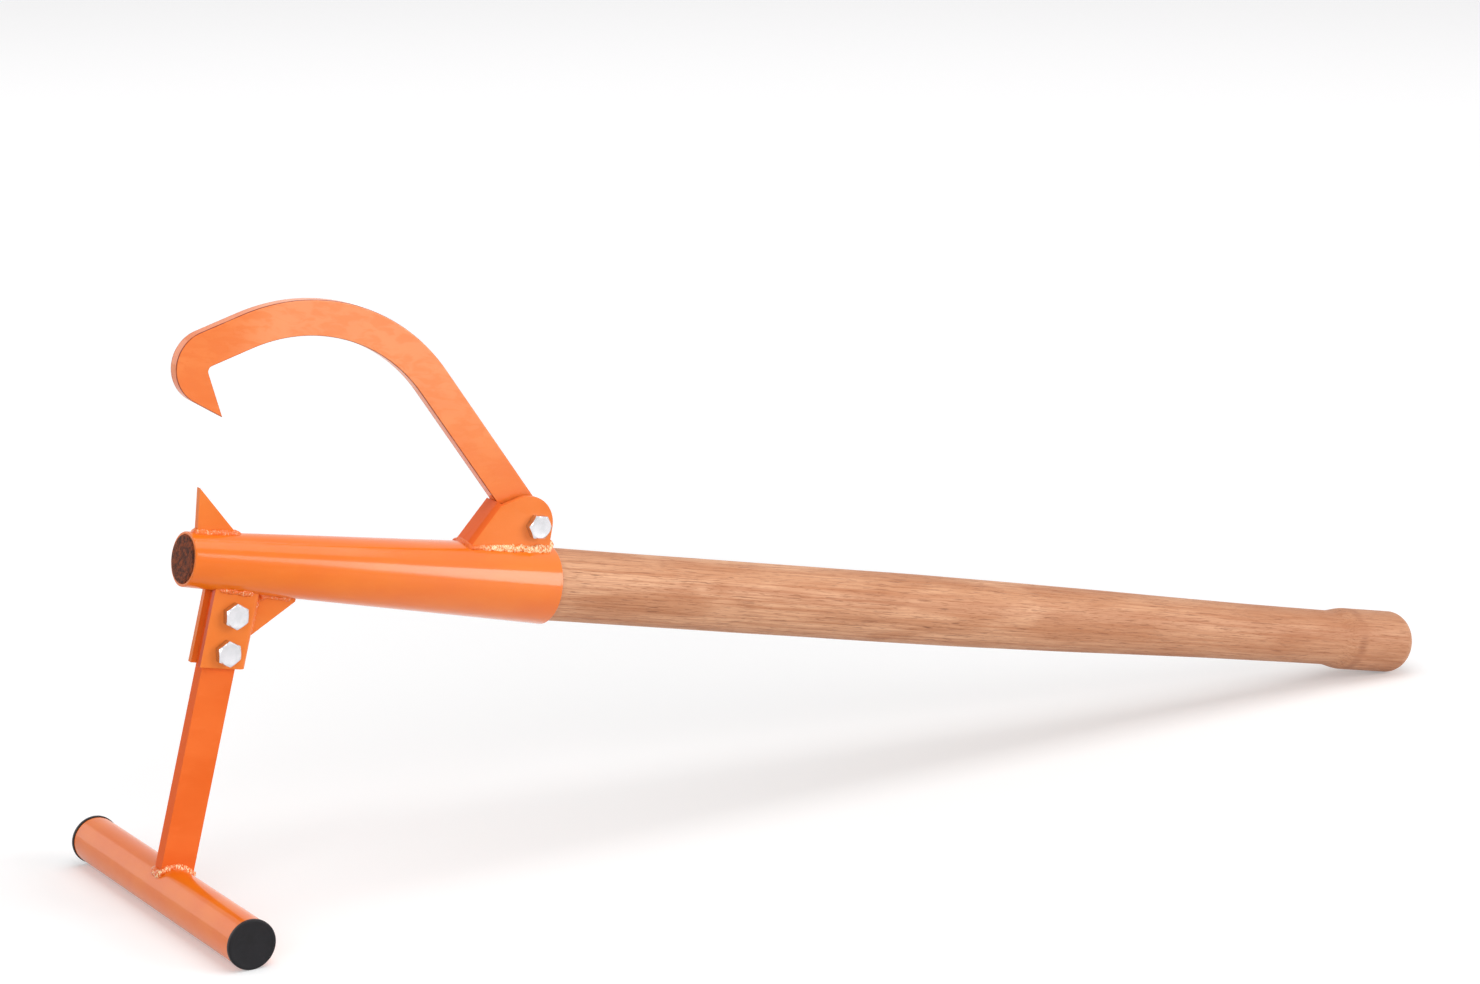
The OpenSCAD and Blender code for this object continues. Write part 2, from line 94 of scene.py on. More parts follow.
BRACKET_AT = 41.0
LEG_LEAN = math.radians(2.7)
BRACKET_W = 20.1
BRACKET_FRONT = -17.1
BRACKET_BACK = 19.9
GUSSET_LEN = 32.0
GUSSET_H = 31.5
GUSSET_T = 5.0
LEG_W = 26.2
LEG_T = 10.5
LEG_DROP = 221.4
LEG_BOLTS = ((1.4, -15.0), (1.4, -42.5))

FOOT_R = 17.6
FOOT_WALL = 2.5
FOOT_LEN = 263.0
CAP_R = 18.2
CAP_T = 3.5
CAP_ROUND = 1.2
PLUG_LEN = 14.0
PLUG_WALL = 1.8
PLUG_GAP = 0.15

BOLT_R = 5.0
THREAD_STEP = 1.5
THREAD_DEPTH = 0.8
HEX_W = 17.0
HEAD_H = 6.4
NUT_H = 8.0
LOCK_NUT_H = 10.0
HOLE_R = 5.3
NUT_BORE_R = 5.1
WASHER_R = 10.0
WASHER_T = 2.0
BOLT_TAIL = 3.0
HOOK_BOLT_TURN = -2.0
LEG_BOLT_TURNS = (19.0, 16.0)

CROWN_R = 0.47 * HEX_W

WELD_R = 4.2
BEAD_STEP = 0.32
BEAD_COLUMNS = 28
POOL_LEN = 2.3
PLATE_EDGE = 0.6
LEG_EDGE = 0.9
# Slow waves of the turned wood and flats of the rolled sheet
POLE_WAVE = 0.035
SHEET_FLAT = 0.035

# Radius of each bead, as a share of its full one, at shares of its length
SPIKE_BEAD = ((0.0, 0.35), (0.06, 0.7), (0.12, 0.9), (0.4, 0.95), (0.6, 0.95), (0.88, 0.9), (0.94, 0.7),
              (1.0, 0.35))
CLEVIS_BEAD = ((0.0, 1.0), (0.24, 0.9), (0.40, 0.68), (0.60, 0.62), (0.70, 0.85), (0.78, 1.0), (1.0, 1.05))
CLEVIS_LUMP = ((0.0, 1.0), (1.0, 0.7))
BRACKET_BEAD = ((0.0, 0.6), (0.25, 1.0), (0.5, 0.8), (0.75, 1.0), (1.0, 0.6))


# Frames

def tilted(points, angle, at_x, at_z):
    """Points turned about Y, so that x dips by the angle, and then shifted in x and z."""
    x, y, z = np.moveaxis(np.asarray(points, float), -1, 0)
    c, s = math.cos(angle), math.sin(angle)
    return np.stack([x * c + z * s + at_x, y, z * c - x * s + at_z], -1)


def from_pole(points):
    """Pole frame in millimetres to the row frame in metres."""
    return tilted(points, POLE_SLOPE, -POLE_MIDDLE, POLE_LIFT) * MM


def leg_to_pole(points):
    """Leg frame to the pole's: its origin is on the steel at the bracket."""
    return tilted(points, LEG_LEAN, BRACKET_AT, -cone_r(BRACKET_AT))


def cone_r(x):
    """Radius of the socket's outside: a straight line from the front's radius to the mouth's."""
    return SOCKET_FRONT_R + (SOCKET_MOUTH_R - SOCKET_FRONT_R) * np.asarray(x, float) / SOCKET_LEN


def on_steel(x, y, side):
    """Point on the socket at x and y, on its upper or lower side: z = sqrt(r^2 - y^2)."""
    x, y = np.broadcast_arrays(np.asarray(x, float), np.asarray(y, float))
    return np.stack([x, y, side * np.sqrt(cone_r(x) ** 2 - y ** 2)], -1)


def ease(a, b, s):
    """Smooth step from a to b: half a cosine as s runs from 0 to 1."""
    return a + (b - a) * (1 - np.cos(np.pi * np.clip(s, 0, 1))) / 2


# Meshes

def placed(name, data):
    """A new object in the scene for a mesh, a lamp or a camera."""
    made = bpy.data.objects.new(name, data)
    bpy.context.scene.collection.objects.link(made)
    return made


def shell(points, loop=False):
    """Vertices and faces of a closed skin over a grid of points. Each row goes round the piece. The rows
    run on in a loop, or the first and last row each close in a fan onto their mean. Faces are turned
    outwards by the sign of the enclosed volume, the sum of a . (b x c) / 6 over the triangles."""
    rows, columns = points.shape[:2]
    index = np.arange(rows * columns).reshape(rows, columns)
    beside = np.roll(index, -1, 1)
    above, above_beside = np.roll(index, -1, 0), np.roll(beside, -1, 0)
    quads = np.stack([index, beside, above_beside, above], -1)
    quads = quads if loop else quads[:-1]
    quads = quads.reshape(-1, 4)
    vertices = points.reshape(-1, 3)
    fans = np.zeros((0, 3), int)
    if not loop:
        vertices = np.vstack([vertices, points[0].mean(0), points[-1].mean(0)])
        first = np.stack([beside[0], index[0], np.full(columns, rows * columns)], -1)
        last = np.stack([index[-1], beside[-1], np.full(columns, rows * columns + 1)], -1)
        fans = np.vstack([first, last])
    triangles = np.vstack([quads[:, :3], quads[:, [0, 2, 3]], fans])
    a, b, c = (vertices[triangles[:, k]] for k in range(3))
    if np.einsum("ij,ij->", a, np.cross(b, c)) < 0:
        quads, fans = quads[:, ::-1], fans[:, ::-1]
    return vertices, quads.tolist() + fans.tolist()


def piece(name, node, parts, finish, crease=35, body="lever", flat=False):
    """One object from several closed skins, each a pair of vertices in the pole's frame and faces. It
    stands for a CAD node and rides on its body. Edges sharper than crease degrees stay sharp."""
    vertices, faces, count = [], [], 0
    for part_vertices, part_faces in parts:
        vertices.append(from_pole(part_vertices))
        faces += [[i + count for i in face] for face in part_faces]
        count += len(part_vertices)
    mesh = bpy.data.meshes.new(name)
    mesh.from_pydata(np.vstack(vertices).tolist(), [], faces)
    mesh.validate()
    return dressed(name, node, mesh, finish, crease, body, flat)


def dressed(name, node, mesh, finish, crease, body, flat):
    """An object for a mesh in the row frame, shaded smooth, with its finish and its place in the tool."""
    mesh.shade_smooth()
    mesh.set_sharp_from_angle(angle=math.radians(crease))
    mesh.materials.clear()
    mesh.materials.append(finish)
    made = placed(name, mesh)
    if flat:
        weighted = made.modifiers.new("even", "WEIGHTED_NORMAL")
        weighted.keep_sharp = True
        weighted.weight = 100
    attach(made, body)
    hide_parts(node)
    return made


def softened(name, node, finish, edge=PLATE_EDGE):
    """A copy of a CAD node with its doubles merged, its flat faces joined and its edges rounded."""
    work = bmesh.new()
    work.from_mesh(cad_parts[node].data)
    bmesh.ops.remove_doubles(work, verts=work.verts, dist=2e-6)
    bmesh.ops.dissolve_limit(work, angle_limit=math.radians(0.6), verts=work.verts, edges=work.edges)
    mesh = bpy.data.meshes.new(name)
    work.to_mesh(mesh)
    work.free()
    made = dressed(name, node, mesh, finish, 35, "lever", False)
    bevel = made.modifiers.new("rounded", "BEVEL")
    bevel.width = edge * MM
    bevel.segments = 3
    bevel.limit_method = "ANGLE"
    bevel.angle_limit = math.radians(35)
    bevel.harden_normals = True
    return made


# Turned pieces

def turned(along, radius, columns, wobble=None):
    """A profile carried round the x axis: (x, r cos a, r sin a), less wobble(x, a) from the radius."""
    a = np.arange(columns) * 2 * np.pi / columns
    x = np.repeat(np.asarray(along, float)[:, None], columns, 1)
    r = np.repeat(np.asarray(radius, float)[:, None], columns, 1)
    if wobble is not None:
        r = r - wobble(x, a[None, :]) * (r > 0.5)
    return np.stack([x, r * np.cos(a), r * np.sin(a)], -1)


def crosswise(points, at, y, turn=0.0):
    """Turns a piece made along x to lie along y: (x, y, z) becomes (at.x + y, y0 + x, at.z + z)."""
    x, u, v = np.moveaxis(points, -1, 0)
    c, s = math.cos(math.radians(turn)), math.sin(math.radians(turn))
    return np.stack([at[0] + u * c - v * s, y + x, at[1] + u * s + v * c], -1)


def corner(centre, radius, start, end, steps):
    """Arc from start to end degrees: centre + radius (cos a, sin a), as pairs."""
    a = np.radians(np.linspace(start, end, steps))
    return np.stack([centre[0] + radius * np.cos(a), centre[1] + radius * np.sin(a)], -1)


def pole_radius(x):
    """Radius of the wood along the pole: the straight taper inside the socket, half a cosine out to the
    belly, another in to the neck, and one more out to the butt."""
    belly, neck = SOCKET_LEN + POLE_BELLY_AT, POLE_LEN - NECK_BACK
    taper = POLE_FRONT_R + (POLE_MOUTH_R - POLE_FRONT_R) * np.maximum(x, 0) / SOCKET_LEN
    out = ease(POLE_MOUTH_R, POLE_BELLY_R, (x - SOCKET_LEN) / POLE_BELLY_AT)
    inward = ease(POLE_BELLY_R, NECK_R, (x - belly) / (neck - belly))
    swell = ease(NECK_R, BUTT_R, (x - neck) / NECK_RAMP)
    return np.select([x <= SOCKET_LEN, x <= belly, x <= neck], [taper, out, inward], swell)


def pole_wobble(x, a):
    """How far the wood lies inside its true radius: slow waves along and round the pole, as left by
    turning and sanding, at most 0.4 mm, fading out at the two ends."""
    wave = (np.sin(x / 31 + 2 * a) + np.sin(x / 53 - a + 1.3) + np.sin(x / 17 + 3 * a + 0.4)
            + 1.6 * np.sin(x / 140 + a + 2.0) + np.sin(x / 90 - 2 * a + 4.0))
    fade = np.clip((x - 4) / 40, 0, 1) * np.clip((POLE_LEN - 2 - x) / 12, 0, 1)
    return POLE_WAVE * (wave + 5.6) * fade


def make_pole(finish):
    """The wooden pole: its profile runs out over the sawn front end, along the length and over the
    rounded butt, whose edge is a quarter of an ellipse."""
    front = [(-POLE_STUB, r) for r in (2, 8, 13, POLE_FRONT_R - 0.5)]
    sides = np.concatenate([[-POLE_STUB + 0.4, 1], np.linspace(8, SOCKET_LEN, 44),
                            np.linspace(SOCKET_LEN, POLE_LEN - NECK_BACK, 280)[1:],
                            np.linspace(POLE_LEN - NECK_BACK, POLE_LEN - BUTT_ROUND_LEN, 40)[1:]])
    along = np.column_stack([sides, pole_radius(sides)])
    a = np.radians(np.linspace(0, 90, 22))[1:]
    edge = np.column_stack([POLE_LEN - BUTT_ROUND_LEN + BUTT_ROUND_LEN * np.sin(a),
                            BUTT_R - BUTT_ROUND + BUTT_ROUND * np.cos(a)])
    end = [(POLE_LEN, BUTT_R - BUTT_ROUND - 3), (POLE_LEN, 1.5)]
    profile = np.vstack([front, along, edge, end])
    grid = turned(profile[:, 0], profile[:, 1], 112, pole_wobble)
    piece("pole", "handle", [shell(grid)], finish, crease=50)


def socket_wobble(x, a):
    """How far the rolled sheet lies inside its true cone: shallow flats that run along the cone, left by
    the rolls, and a long slow wave, at most 0.2 mm."""
    flats = 0.5 - 0.5 * np.cos(9 * a + 0.6 * np.sin(x / 120))
    return SHEET_FLAT * flats + 0.03 * (1 + np.sin(x / 70 + 2 * a)) + 0.02 * (1 + np.sin(x / 23 + 5 * a))


def make_socket(finish):
    """The rolled cone: a closed profile, out along the outside and back along the bore."""
    slope = math.degrees(math.atan((SOCKET_MOUTH_R - SOCKET_FRONT_R) / SOCKET_LEN))
    rim = 0.7
    front, mouth = SOCKET_FRONT_R, SOCKET_MOUTH_R
    outer_x = np.linspace(rim * 2, SOCKET_LEN - rim * 2, 90)
    outer = np.column_stack([outer_x, cone_r(outer_x)])
    inner = np.column_stack([outer_x, cone_r(outer_x) - SOCKET_WALL])[::-1]
    profile = np.vstack([
        corner((rim, front - SOCKET_WALL + rim), rim, 270, 180, 6),
        corner((rim, front - rim), rim, 180, 90 + slope, 6),
        outer,
        corner((SOCKET_LEN - rim, mouth - rim), rim, 90, 0, 6),
        corner((SOCKET_LEN - rim, mouth - SOCKET_WALL + rim), rim, 0, -90, 6),
        inner,
    ])
    grid = turned(profile[:, 0], profile[:, 1], 180, socket_wobble)
    piece("socket_cone", "socket", [shell(grid, loop=True)], finish, crease=50)


def tube_profile(start, end, inner, outer, rim, between=()):
    """A tube's closed profile as pairs of x and radius, with rounded rims and points between its ends."""
    x = np.asarray(between, float)
    return np.vstack([
        corner((start + rim, inner + rim), rim, 270, 180, 4),
        corner((start + rim, outer - rim), rim, 180, 90, 4),
        np.column_stack([x, np.full_like(x, outer)]),
        corner((end - rim, outer - rim), rim, 90, 0, 4),
        corner((end - rim, inner + rim), rim, 0, -90, 4),
        np.column_stack([x, np.full_like(x, inner)])[::-1],
    ])


def make_foot_tube(finish):
    """The T-foot's tube, with its cut ends slightly rounded."""
    half = FOOT_LEN / 2
    profile = tube_profile(-half, half, FOOT_R - FOOT_WALL, FOOT_R, 0.3, np.linspace(-half + 1, half - 1, 66))
    grid = turned(profile[:, 0], profile[:, 1], 120, lambda x, a: 0.03 * (1 + np.sin(x / 40 + 3 * a)))
    grid = leg_to_pole(crosswise(grid, (0, -LEG_DROP), 0))
    piece("foot_pipe", "foot_tube", [shell(grid, loop=True)], finish, crease=50)


def make_cap(name, node, side, finish):
    """A moulded end cap: a shallow dish inside a raised ring, a rounded rim, and a hollow plug."""
    stem = FOOT_R - FOOT_WALL - PLUG_GAP
    dish = 0.25
    profile = np.vstack([
        [(CAP_T - dish, 1.5), (CAP_T - dish, CAP_R * 0.45), (CAP_T - dish, CAP_R * 0.78)],
        [(CAP_T - dish * 0.7, CAP_R * 0.82), (CAP_T - dish * 0.2, CAP_R * 0.86)],
        corner((CAP_T - CAP_ROUND, CAP_R - CAP_ROUND), CAP_ROUND, 0, 90, 9),
        [(0.4, CAP_R), (0.1, CAP_R - 0.1), (0.0, CAP_R - 0.4), (0.0, stem), (-0.3, stem)],
        [(-PLUG_LEN + 2.5, stem), (-PLUG_LEN + 0.3, stem - 0.5), (-PLUG_LEN, stem - 0.8)],
        [(-PLUG_LEN, stem - PLUG_WALL), (0.0, stem - PLUG_WALL), (0.0, 1.5)],
    ])
    grid = turned(profile[:, 0] * side, profile[:, 1], 96)
    grid = leg_to_pole(crosswise(grid, (0, -LEG_DROP), side * FOOT_LEN / 2))
    piece(name, node, [shell(grid)], finish, crease=30)


# Bolts, washers and nuts

def hex_columns():
    """Angles round a hexagon, in radians, crowded towards its corners at 0, 60, 120 degrees and so on."""
    near = np.array([0, 0.8, 1.8, 3.2, 5.5, 10, 18, 30])
    sector = np.concatenate([near, 60 - near[1:-1][::-1]])
    return np.radians((np.arange(6)[:, None] * 60 + sector[None, :]).ravel())


def hex_radius(a):
    """Distance to a hexagon's edge, its corners eased: w / 2 times (sum of cos(a - flat)^p) ^ (-1 / p)."""
    flats = np.radians(30 + 60 * np.arange(6))
    reach = np.maximum(np.cos(a[:, None] - flats[None, :]), 0) ** 48
    return HEX_W / 2 * reach.sum(1) ** (-1 / 48)


def rings(rows, a):
    """Points of rows of (x, r) round the x axis, where x and r may each vary with the angle a."""
    x = np.stack([np.broadcast_to(row[0], a.shape) for row in rows])
    r = np.stack([np.broadcast_to(row[1], a.shape) for row in rows])
    return np.stack([x, r * np.cos(a), r * np.sin(a)], -1)


def chamfered(x_end, inward):
    """Rows over a chamfered end of a hexagon: along the sides to where the 30 degree cone cuts them, then
    up the cone to the round crown. The cut's height at each angle is (r - crown) tan 30 below the end."""
    a = hex_columns()
    edge = hex_radius(a)
    fall = np.maximum(edge - CROWN_R, 0) * math.tan(math.radians(30))
    cut = x_end - inward * (fall + 0.15)
    near = x_end - inward * (fall * 0.96 + 0.04)
    return [(cut, edge), (near, edge - 0.08), (x_end, np.full_like(a, CROWN_R))]


def head_and_shank(grip, nut_h, turn):
    """A bolt along x from its head, below x = 0, to its tail: the head's chamfered hexagon with a shallow
    dished face, and a shank whose last part is threaded, with the radius
    R - d (1 - cos(2 pi x / step - a)) / 2."""
    a = hex_columns()
    edge = hex_radius(a)
    head = [(0.0, edge * 0.2), (0.0, edge - 0.5), (-0.3, edge)] + chamfered(-HEAD_H, -1)
    head += [(-HEAD_H, 0.43 * HEX_W), (-HEAD_H + 0.18, 0.36 * HEX_W), (-HEAD_H + 0.22, 0.12 * HEX_W)]
    end = grip + WASHER_T + nut_h + BOLT_TAIL
    plain = grip - 4.0
    x = np.concatenate([[-2, 0, plain], np.arange(plain + 0.5, end - 0.01, THREAD_STEP / 10), [end, end]])
    round_a = np.radians(np.arange(0, 360, 10))
    depth = THREAD_DEPTH * np.clip((x - plain) / 1.5, 0, 1)
    wave = (1 - np.cos(2 * np.pi * (x[:, None] / THREAD_STEP) - round_a[None, :])) / 2
    tip = np.clip((x - (end - 1.2)) / 1.2, 0, 1) * 1.1
    r = np.minimum(BOLT_R - depth[:, None] * wave, (BOLT_R - tip)[:, None])
    r[-1] = BOLT_R - 2.5
    shank = crosswise(rings(list(zip(x, r)), round_a), (0, 0), 0)
    return crosswise(rings(head, a), (0, 0), 0, turn), shank


def washer_rings():
    """A flat washer along x, with its punched edges rounded."""
    profile = tube_profile(0, WASHER_T, HOLE_R, WASHER_R, 0.35)
    return crosswise(turned(profile[:, 0], profile[:, 1], 64), (0, 0), 0)


def nut_rings(height, turn, collar):
    """A nut along x: a closed run of rows over the bore, its countersinks and the chamfered hexagon. A
    lock nut has a lower hexagon and a rolled collar above it."""
    a = hex_columns()
    hex_h = 0.7 * height if collar else height
    rows = [(0.5, NUT_BORE_R), (0.0, NUT_BORE_R + 0.6)]
    rows += chamfered(0.0, -1)[::-1] + chamfered(hex_h, 1)
    if collar:
        r, curl = 0.44 * HEX_W, 0.8
        bends = (0.4, 0.8, 1.2, 1.57)
        rows += [(hex_h, r + 0.15), (hex_h + 0.15, r), (height - curl, r)]
        rows += [(height - curl * (1 - math.sin(t)), r - curl * (1 - math.cos(t))) for t in bends]
        rows += [(height, NUT_BORE_R + 1.4), (height - 0.4, NUT_BORE_R + 1.2), (height - 0.5, NUT_BORE_R)]
    else:
        rows += [(height, NUT_BORE_R + 0.6), (height - 0.5, NUT_BORE_R)]
    return crosswise(rings(rows, a), (0, 0), 0, turn)


def moved(points, at, y, place=None):
    """Shifts a piece made along y to a place in x and z and to a y, and out of a frame, where given."""
    shifted = points + np.array([at[0], y, at[1]])
    return shifted if place is None else place(shifted)


def make_fasteners(steel):
    """The hook's bolt, washer and lock nut, and the leg's two bolts, washers and nuts."""
    head, shank = head_and_shank(CLEVIS_W, LOCK_NUT_H, -HOOK_BOLT_TURN)
    near, far = -CLEVIS_W / 2, CLEVIS_W / 2
    piece("hook_bolt_steel", "hook_bolt", [shell(moved(head, PIVOT, near)), shell(moved(shank, PIVOT, near))],
          steel, crease=24)
    washer = moved(washer_rings(), PIVOT, far)
    piece("hook_washer_steel", "hook_washer", [shell(washer, loop=True)], steel)
    nut = nut_rings(LOCK_NUT_H, -HOOK_BOLT_TURN - 20, True)
    piece("hook_nut_steel", "hook_nut", [shell(moved(nut, PIVOT, far + WASHER_T), loop=True)],
          steel, crease=24)

    near, far = -BRACKET_W / 2, BRACKET_W / 2
    bolts, washers, nuts = [], [], []
    for at, turn, nut_turn in zip(LEG_BOLTS, LEG_BOLT_TURNS, LEG_BOLT_TURNS[::-1]):
        head, shank = head_and_shank(BRACKET_W, NUT_H, -turn)
        bolts += [shell(moved(head, at, near, leg_to_pole)), shell(moved(shank, at, near, leg_to_pole))]
        washers.append(shell(moved(washer_rings(), at, far, leg_to_pole), loop=True))
        nut = nut_rings(NUT_H, -nut_turn, False)
        nuts.append(shell(moved(nut, at, far + WASHER_T, leg_to_pole), loop=True))
    piece("leg_bolts_steel", "leg_bolts", bolts, steel, crease=24)
    piece("leg_washers_steel", "leg_washers", washers, steel)
    piece("leg_nuts_steel", "leg_nuts", nuts, steel, crease=24)


# The hook

def hook_outline():
    """The hook's edge, anticlockwise, with its eye at the origin and its arm along x: straight arm, outer
    arc of the bow, straight, rounded nose, one line to the tooth's point, the tooth's inner face, its
    fillet, and back along the inner side to the eye's half circle."""
    half = HOOK_W / 2
    turn = math.degrees(BOW_ANGLE)

    def beyond(points):
        """Points past the bow: turned by the bow's angle about the bow's centre."""
        x, y = np.asarray(points, float).reshape(-1, 2).T
        y = y - BOW_R
        c, s = math.cos(BOW_ANGLE), math.sin(BOW_ANGLE)
        return np.column_stack([HOOK_ARM + x * c - y * s, BOW_R + x * s + y * c])

    nose = (TOOTH_AT - NOSE_BACK, NOSE_R - half)
    tip = (TOOTH_AT, half + TOOTH_LEN)
    reach = math.hypot(tip[0] - nose[0], tip[1] - nose[1])
    touch = math.degrees(math.atan2(tip[1] - nose[1], tip[0] - nose[0]) - math.acos(NOSE_R / reach))
    fillet = (TOOTH_AT - TOOTH_FILLET, half + TOOTH_FILLET)
    return np.vstack([
        [(0, -half)],
        corner((HOOK_ARM, BOW_R), BOW_R + half, -90, turn - 90, 60),
        beyond(corner(nose, NOSE_R, -90, touch, 40)),
        beyond([tip]),
        beyond(corner(fillet, TOOTH_FILLET, 0, -90, 8)),
        corner((HOOK_ARM, BOW_R), BOW_R - half, turn - 90, -90, 60),
        corner((0, 0), half, 90, 250, 24),
    ])


def plate_skin(outline, holes, thick, edge):
    """A flat plate from an outline and its holes: each edge is a profile carried along its loop, a
    quarter circle over each rim with a straight between, set inwards along the mitre of its neighbours.
    The two flat sides are cut into triangles."""
    quarter = np.radians(np.linspace(0, 90, 5))
    rise, fall = edge * (1 - np.cos(quarter)), edge * (1 - np.sin(quarter))
    inset = np.concatenate([fall, rise])
    depth = np.concatenate([-thick / 2 + rise, thick / 2 - fall])
    vertices, faces, count, flats = [], [], 0, [[], []]
    for loop in [outline] + holes:
        side = np.roll(loop, -1, 0) - loop
        side /= np.linalg.norm(side, axis=1)[:, None]
        normal = np.column_stack([side[:, 1], -side[:, 0]])
        before = np.roll(normal, 1, 0)
        mitre = (normal + before) / np.maximum(1 + (normal * before).sum(1), 0.25)[:, None]
        rows, columns = len(inset), len(loop)
        flat = loop[None] - inset[:, None, None] * mitre[None]
        grid = np.stack([flat[..., 0], np.broadcast_to(depth[:, None], flat.shape[:2]), flat[..., 1]], -1)
        index = np.arange(rows * columns).reshape(rows, columns) + count
        beside = np.roll(index, -1, 1)
        faces += np.stack([index[:-1], beside[:-1], beside[1:], index[1:]], -1).reshape(-1, 4).tolist()
        vertices.append(grid.reshape(-1, 3))
        flats[0].append(index[0])
        flats[1].append(index[-1])
        count += rows * columns
    vertices = np.vstack(vertices)
    for loops, flip in zip(flats, (False, True)):
        ring = np.concatenate(loops)
        drawn = [[Vector((vertices[i][0], vertices[i][2], 0)) for i in one] for one in loops]
        for triangle in tessellate_polygon(drawn):
            corners = [int(ring[k]) for k in triangle]
            a, b, c = (vertices[i] for i in corners)
            up = np.cross(b - a, c - a)[1] > 0
            faces.append(corners if up == flip else corners[::-1])
    return vertices, faces


def make_hook(finish):
    """The hook's bar, turned up from the butt's direction by its rest angle about the bolt."""
    eye = corner((0, 0), HOLE_R, 360, 0, 49)[:-1]
    vertices, faces = plate_skin(hook_outline(), [eye], HOOK_T, 0.8)
    c, s = math.cos(HOOK_REST), math.sin(HOOK_REST)
    x, y, z = vertices.T
    vertices = np.column_stack([PIVOT[0] + x * c - z * s, y, PIVOT[1] + x * s + z * c])
    piece("hook_bar", "hook", [(vertices, faces)], finish, crease=30, body="hook", flat=True)


# Weld beads

def evenly(path, step, closed=False):
    """The path's points again, a step apart along it, with its corners eased by a running mean."""
    path = np.vstack([path, path[:1]]) if closed else np.asarray(path, float)
    run = np.concatenate([[0], np.cumsum(np.linalg.norm(np.diff(path, axis=0), axis=1))])
    count = max(int(run[-1] / step), 8)
    at = np.linspace(0, run[-1], count, endpoint=not closed)
    dense = np.column_stack([np.interp(at, run, path[:, k]) for k in range(3)])
    width = int(2.2 / step) * 2 + 1
    ends = dict(mode="wrap") if closed else dict(mode="reflect", reflect_type="odd")
    padded = np.pad(dense, ((width // 2, width // 2), (0, 0)), **ends)
    kernel = np.ones(width) / width
    return np.column_stack([np.convolve(padded[:, k], kernel, "valid") for k in range(3)])


def bead(path, axis_at, radius, seed, closed=False, rough=1.0, size=((0.0, 1.0), (1.0, 1.0)), pool_high=0.15):
    """A weld bead: rings of r(s, a) round a path. Each pool of metal overlaps the last, so r rises
    steeply at a pool's start and falls slowly to its end, later at the sides than on the crown; pools
    differ in height. Slow waves and many small round lumps, exp(-d^2), lie over them. size gives the
    radius at shares of the length, pool_high how far the pools stand out, and open ends close in a
    quarter of an ellipse."""
    centre = evenly(path, BEAD_STEP, closed)
    count = len(centre)
    a = np.arange(BEAD_COLUMNS) * 2 * np.pi / BEAD_COLUMNS
    ahead = np.roll(centre, -1, 0) - np.roll(centre, 1, 0)
    if not closed:
        ahead[0], ahead[-1] = centre[1] - centre[0], centre[-1] - centre[-2]
    ahead /= np.linalg.norm(ahead, axis=1)[:, None]
    out = axis_at(centre)
    out -= (out * ahead).sum(1)[:, None] * ahead
    out /= np.linalg.norm(out, axis=1)[:, None]
    across = np.cross(ahead, out)

    random = np.random.default_rng(seed)
    s = (np.arange(count) * BEAD_STEP)[:, None]
    length = count * BEAD_STEP
    pools = max(int(round(length / POOL_LEN)), 3)
    jitter = 0.25 * np.sin(s / 5.1 + seed) + 0.2 * np.sin(s / 2.9 + 2 * seed)
    phase = s / length * pools + jitter * (0 if closed else 1) - 0.55 * np.sin(a)[None, :] ** 2
    part, number = np.modf(phase + 8)
    height = random.uniform(0.1, 1.0, pools + 20)[number.astype(int) % (pools if closed else pools + 20)]
    ripple = np.minimum(part / 0.16, 1) * (1 - 0.8 * part) * height
    turns = np.round(length / (2 * np.pi * np.array([3.1, 1.9, 5.3, 1.3])))
    waves = sum(np.sin(2 * np.pi * t * s / length + k * a[None, :] + p)
                for t, k, p in zip(turns, (1, 2, 3, 4), random.uniform(0, 6.3, 4)))
    lumps = int(length * 1.1)
    at_s, at_a = random.uniform(0, length, lumps), random.uniform(0, 2 * np.pi, lumps)
    wide, high = random.uniform(0.5, 1.2, lumps), random.uniform(-0.10, 0.16, lumps)
    along = (s[..., None] - at_s + length / 2) % length - length / 2
    round_by = ((a[None, :, None] - at_a + np.pi) % (2 * np.pi) - np.pi) * radius
    crumbs = (high * np.exp(-(along ** 2 + round_by ** 2) / wide ** 2)).sum(-1)
    r = radius * (0.82 + pool_high * rough * (ripple - 0.5) + rough * (0.026 * waves + crumbs))
    shares, sizes = zip(*size)
    r = r * np.interp(s / length, shares, sizes)
    if not closed:
        end = np.minimum(s, length - BEAD_STEP - s) / radius
        r = r * np.sqrt(np.clip(1 - (1 - np.minimum(end, 1)) ** 2, 0.004, 1))
    ring = np.cos(a)[None, :, None] * out[:, None, :] + np.sin(a)[None, :, None] * across[:, None, :]
    return shell(centre[:, None, :] + r[..., None] * ring, loop=closed)


def from_pole_axis(points):
    """Directions straight away from the pole's axis."""
    return points * np.array([0.0, 1.0, 1.0])


def from_foot_axis(points):
    """Directions straight away from the foot tube's axis."""
    middle = leg_to_pole(np.array([0.0, 0.0, -LEG_DROP]))
    return (points - middle) * np.array([1.0, 0.0, 1.0])


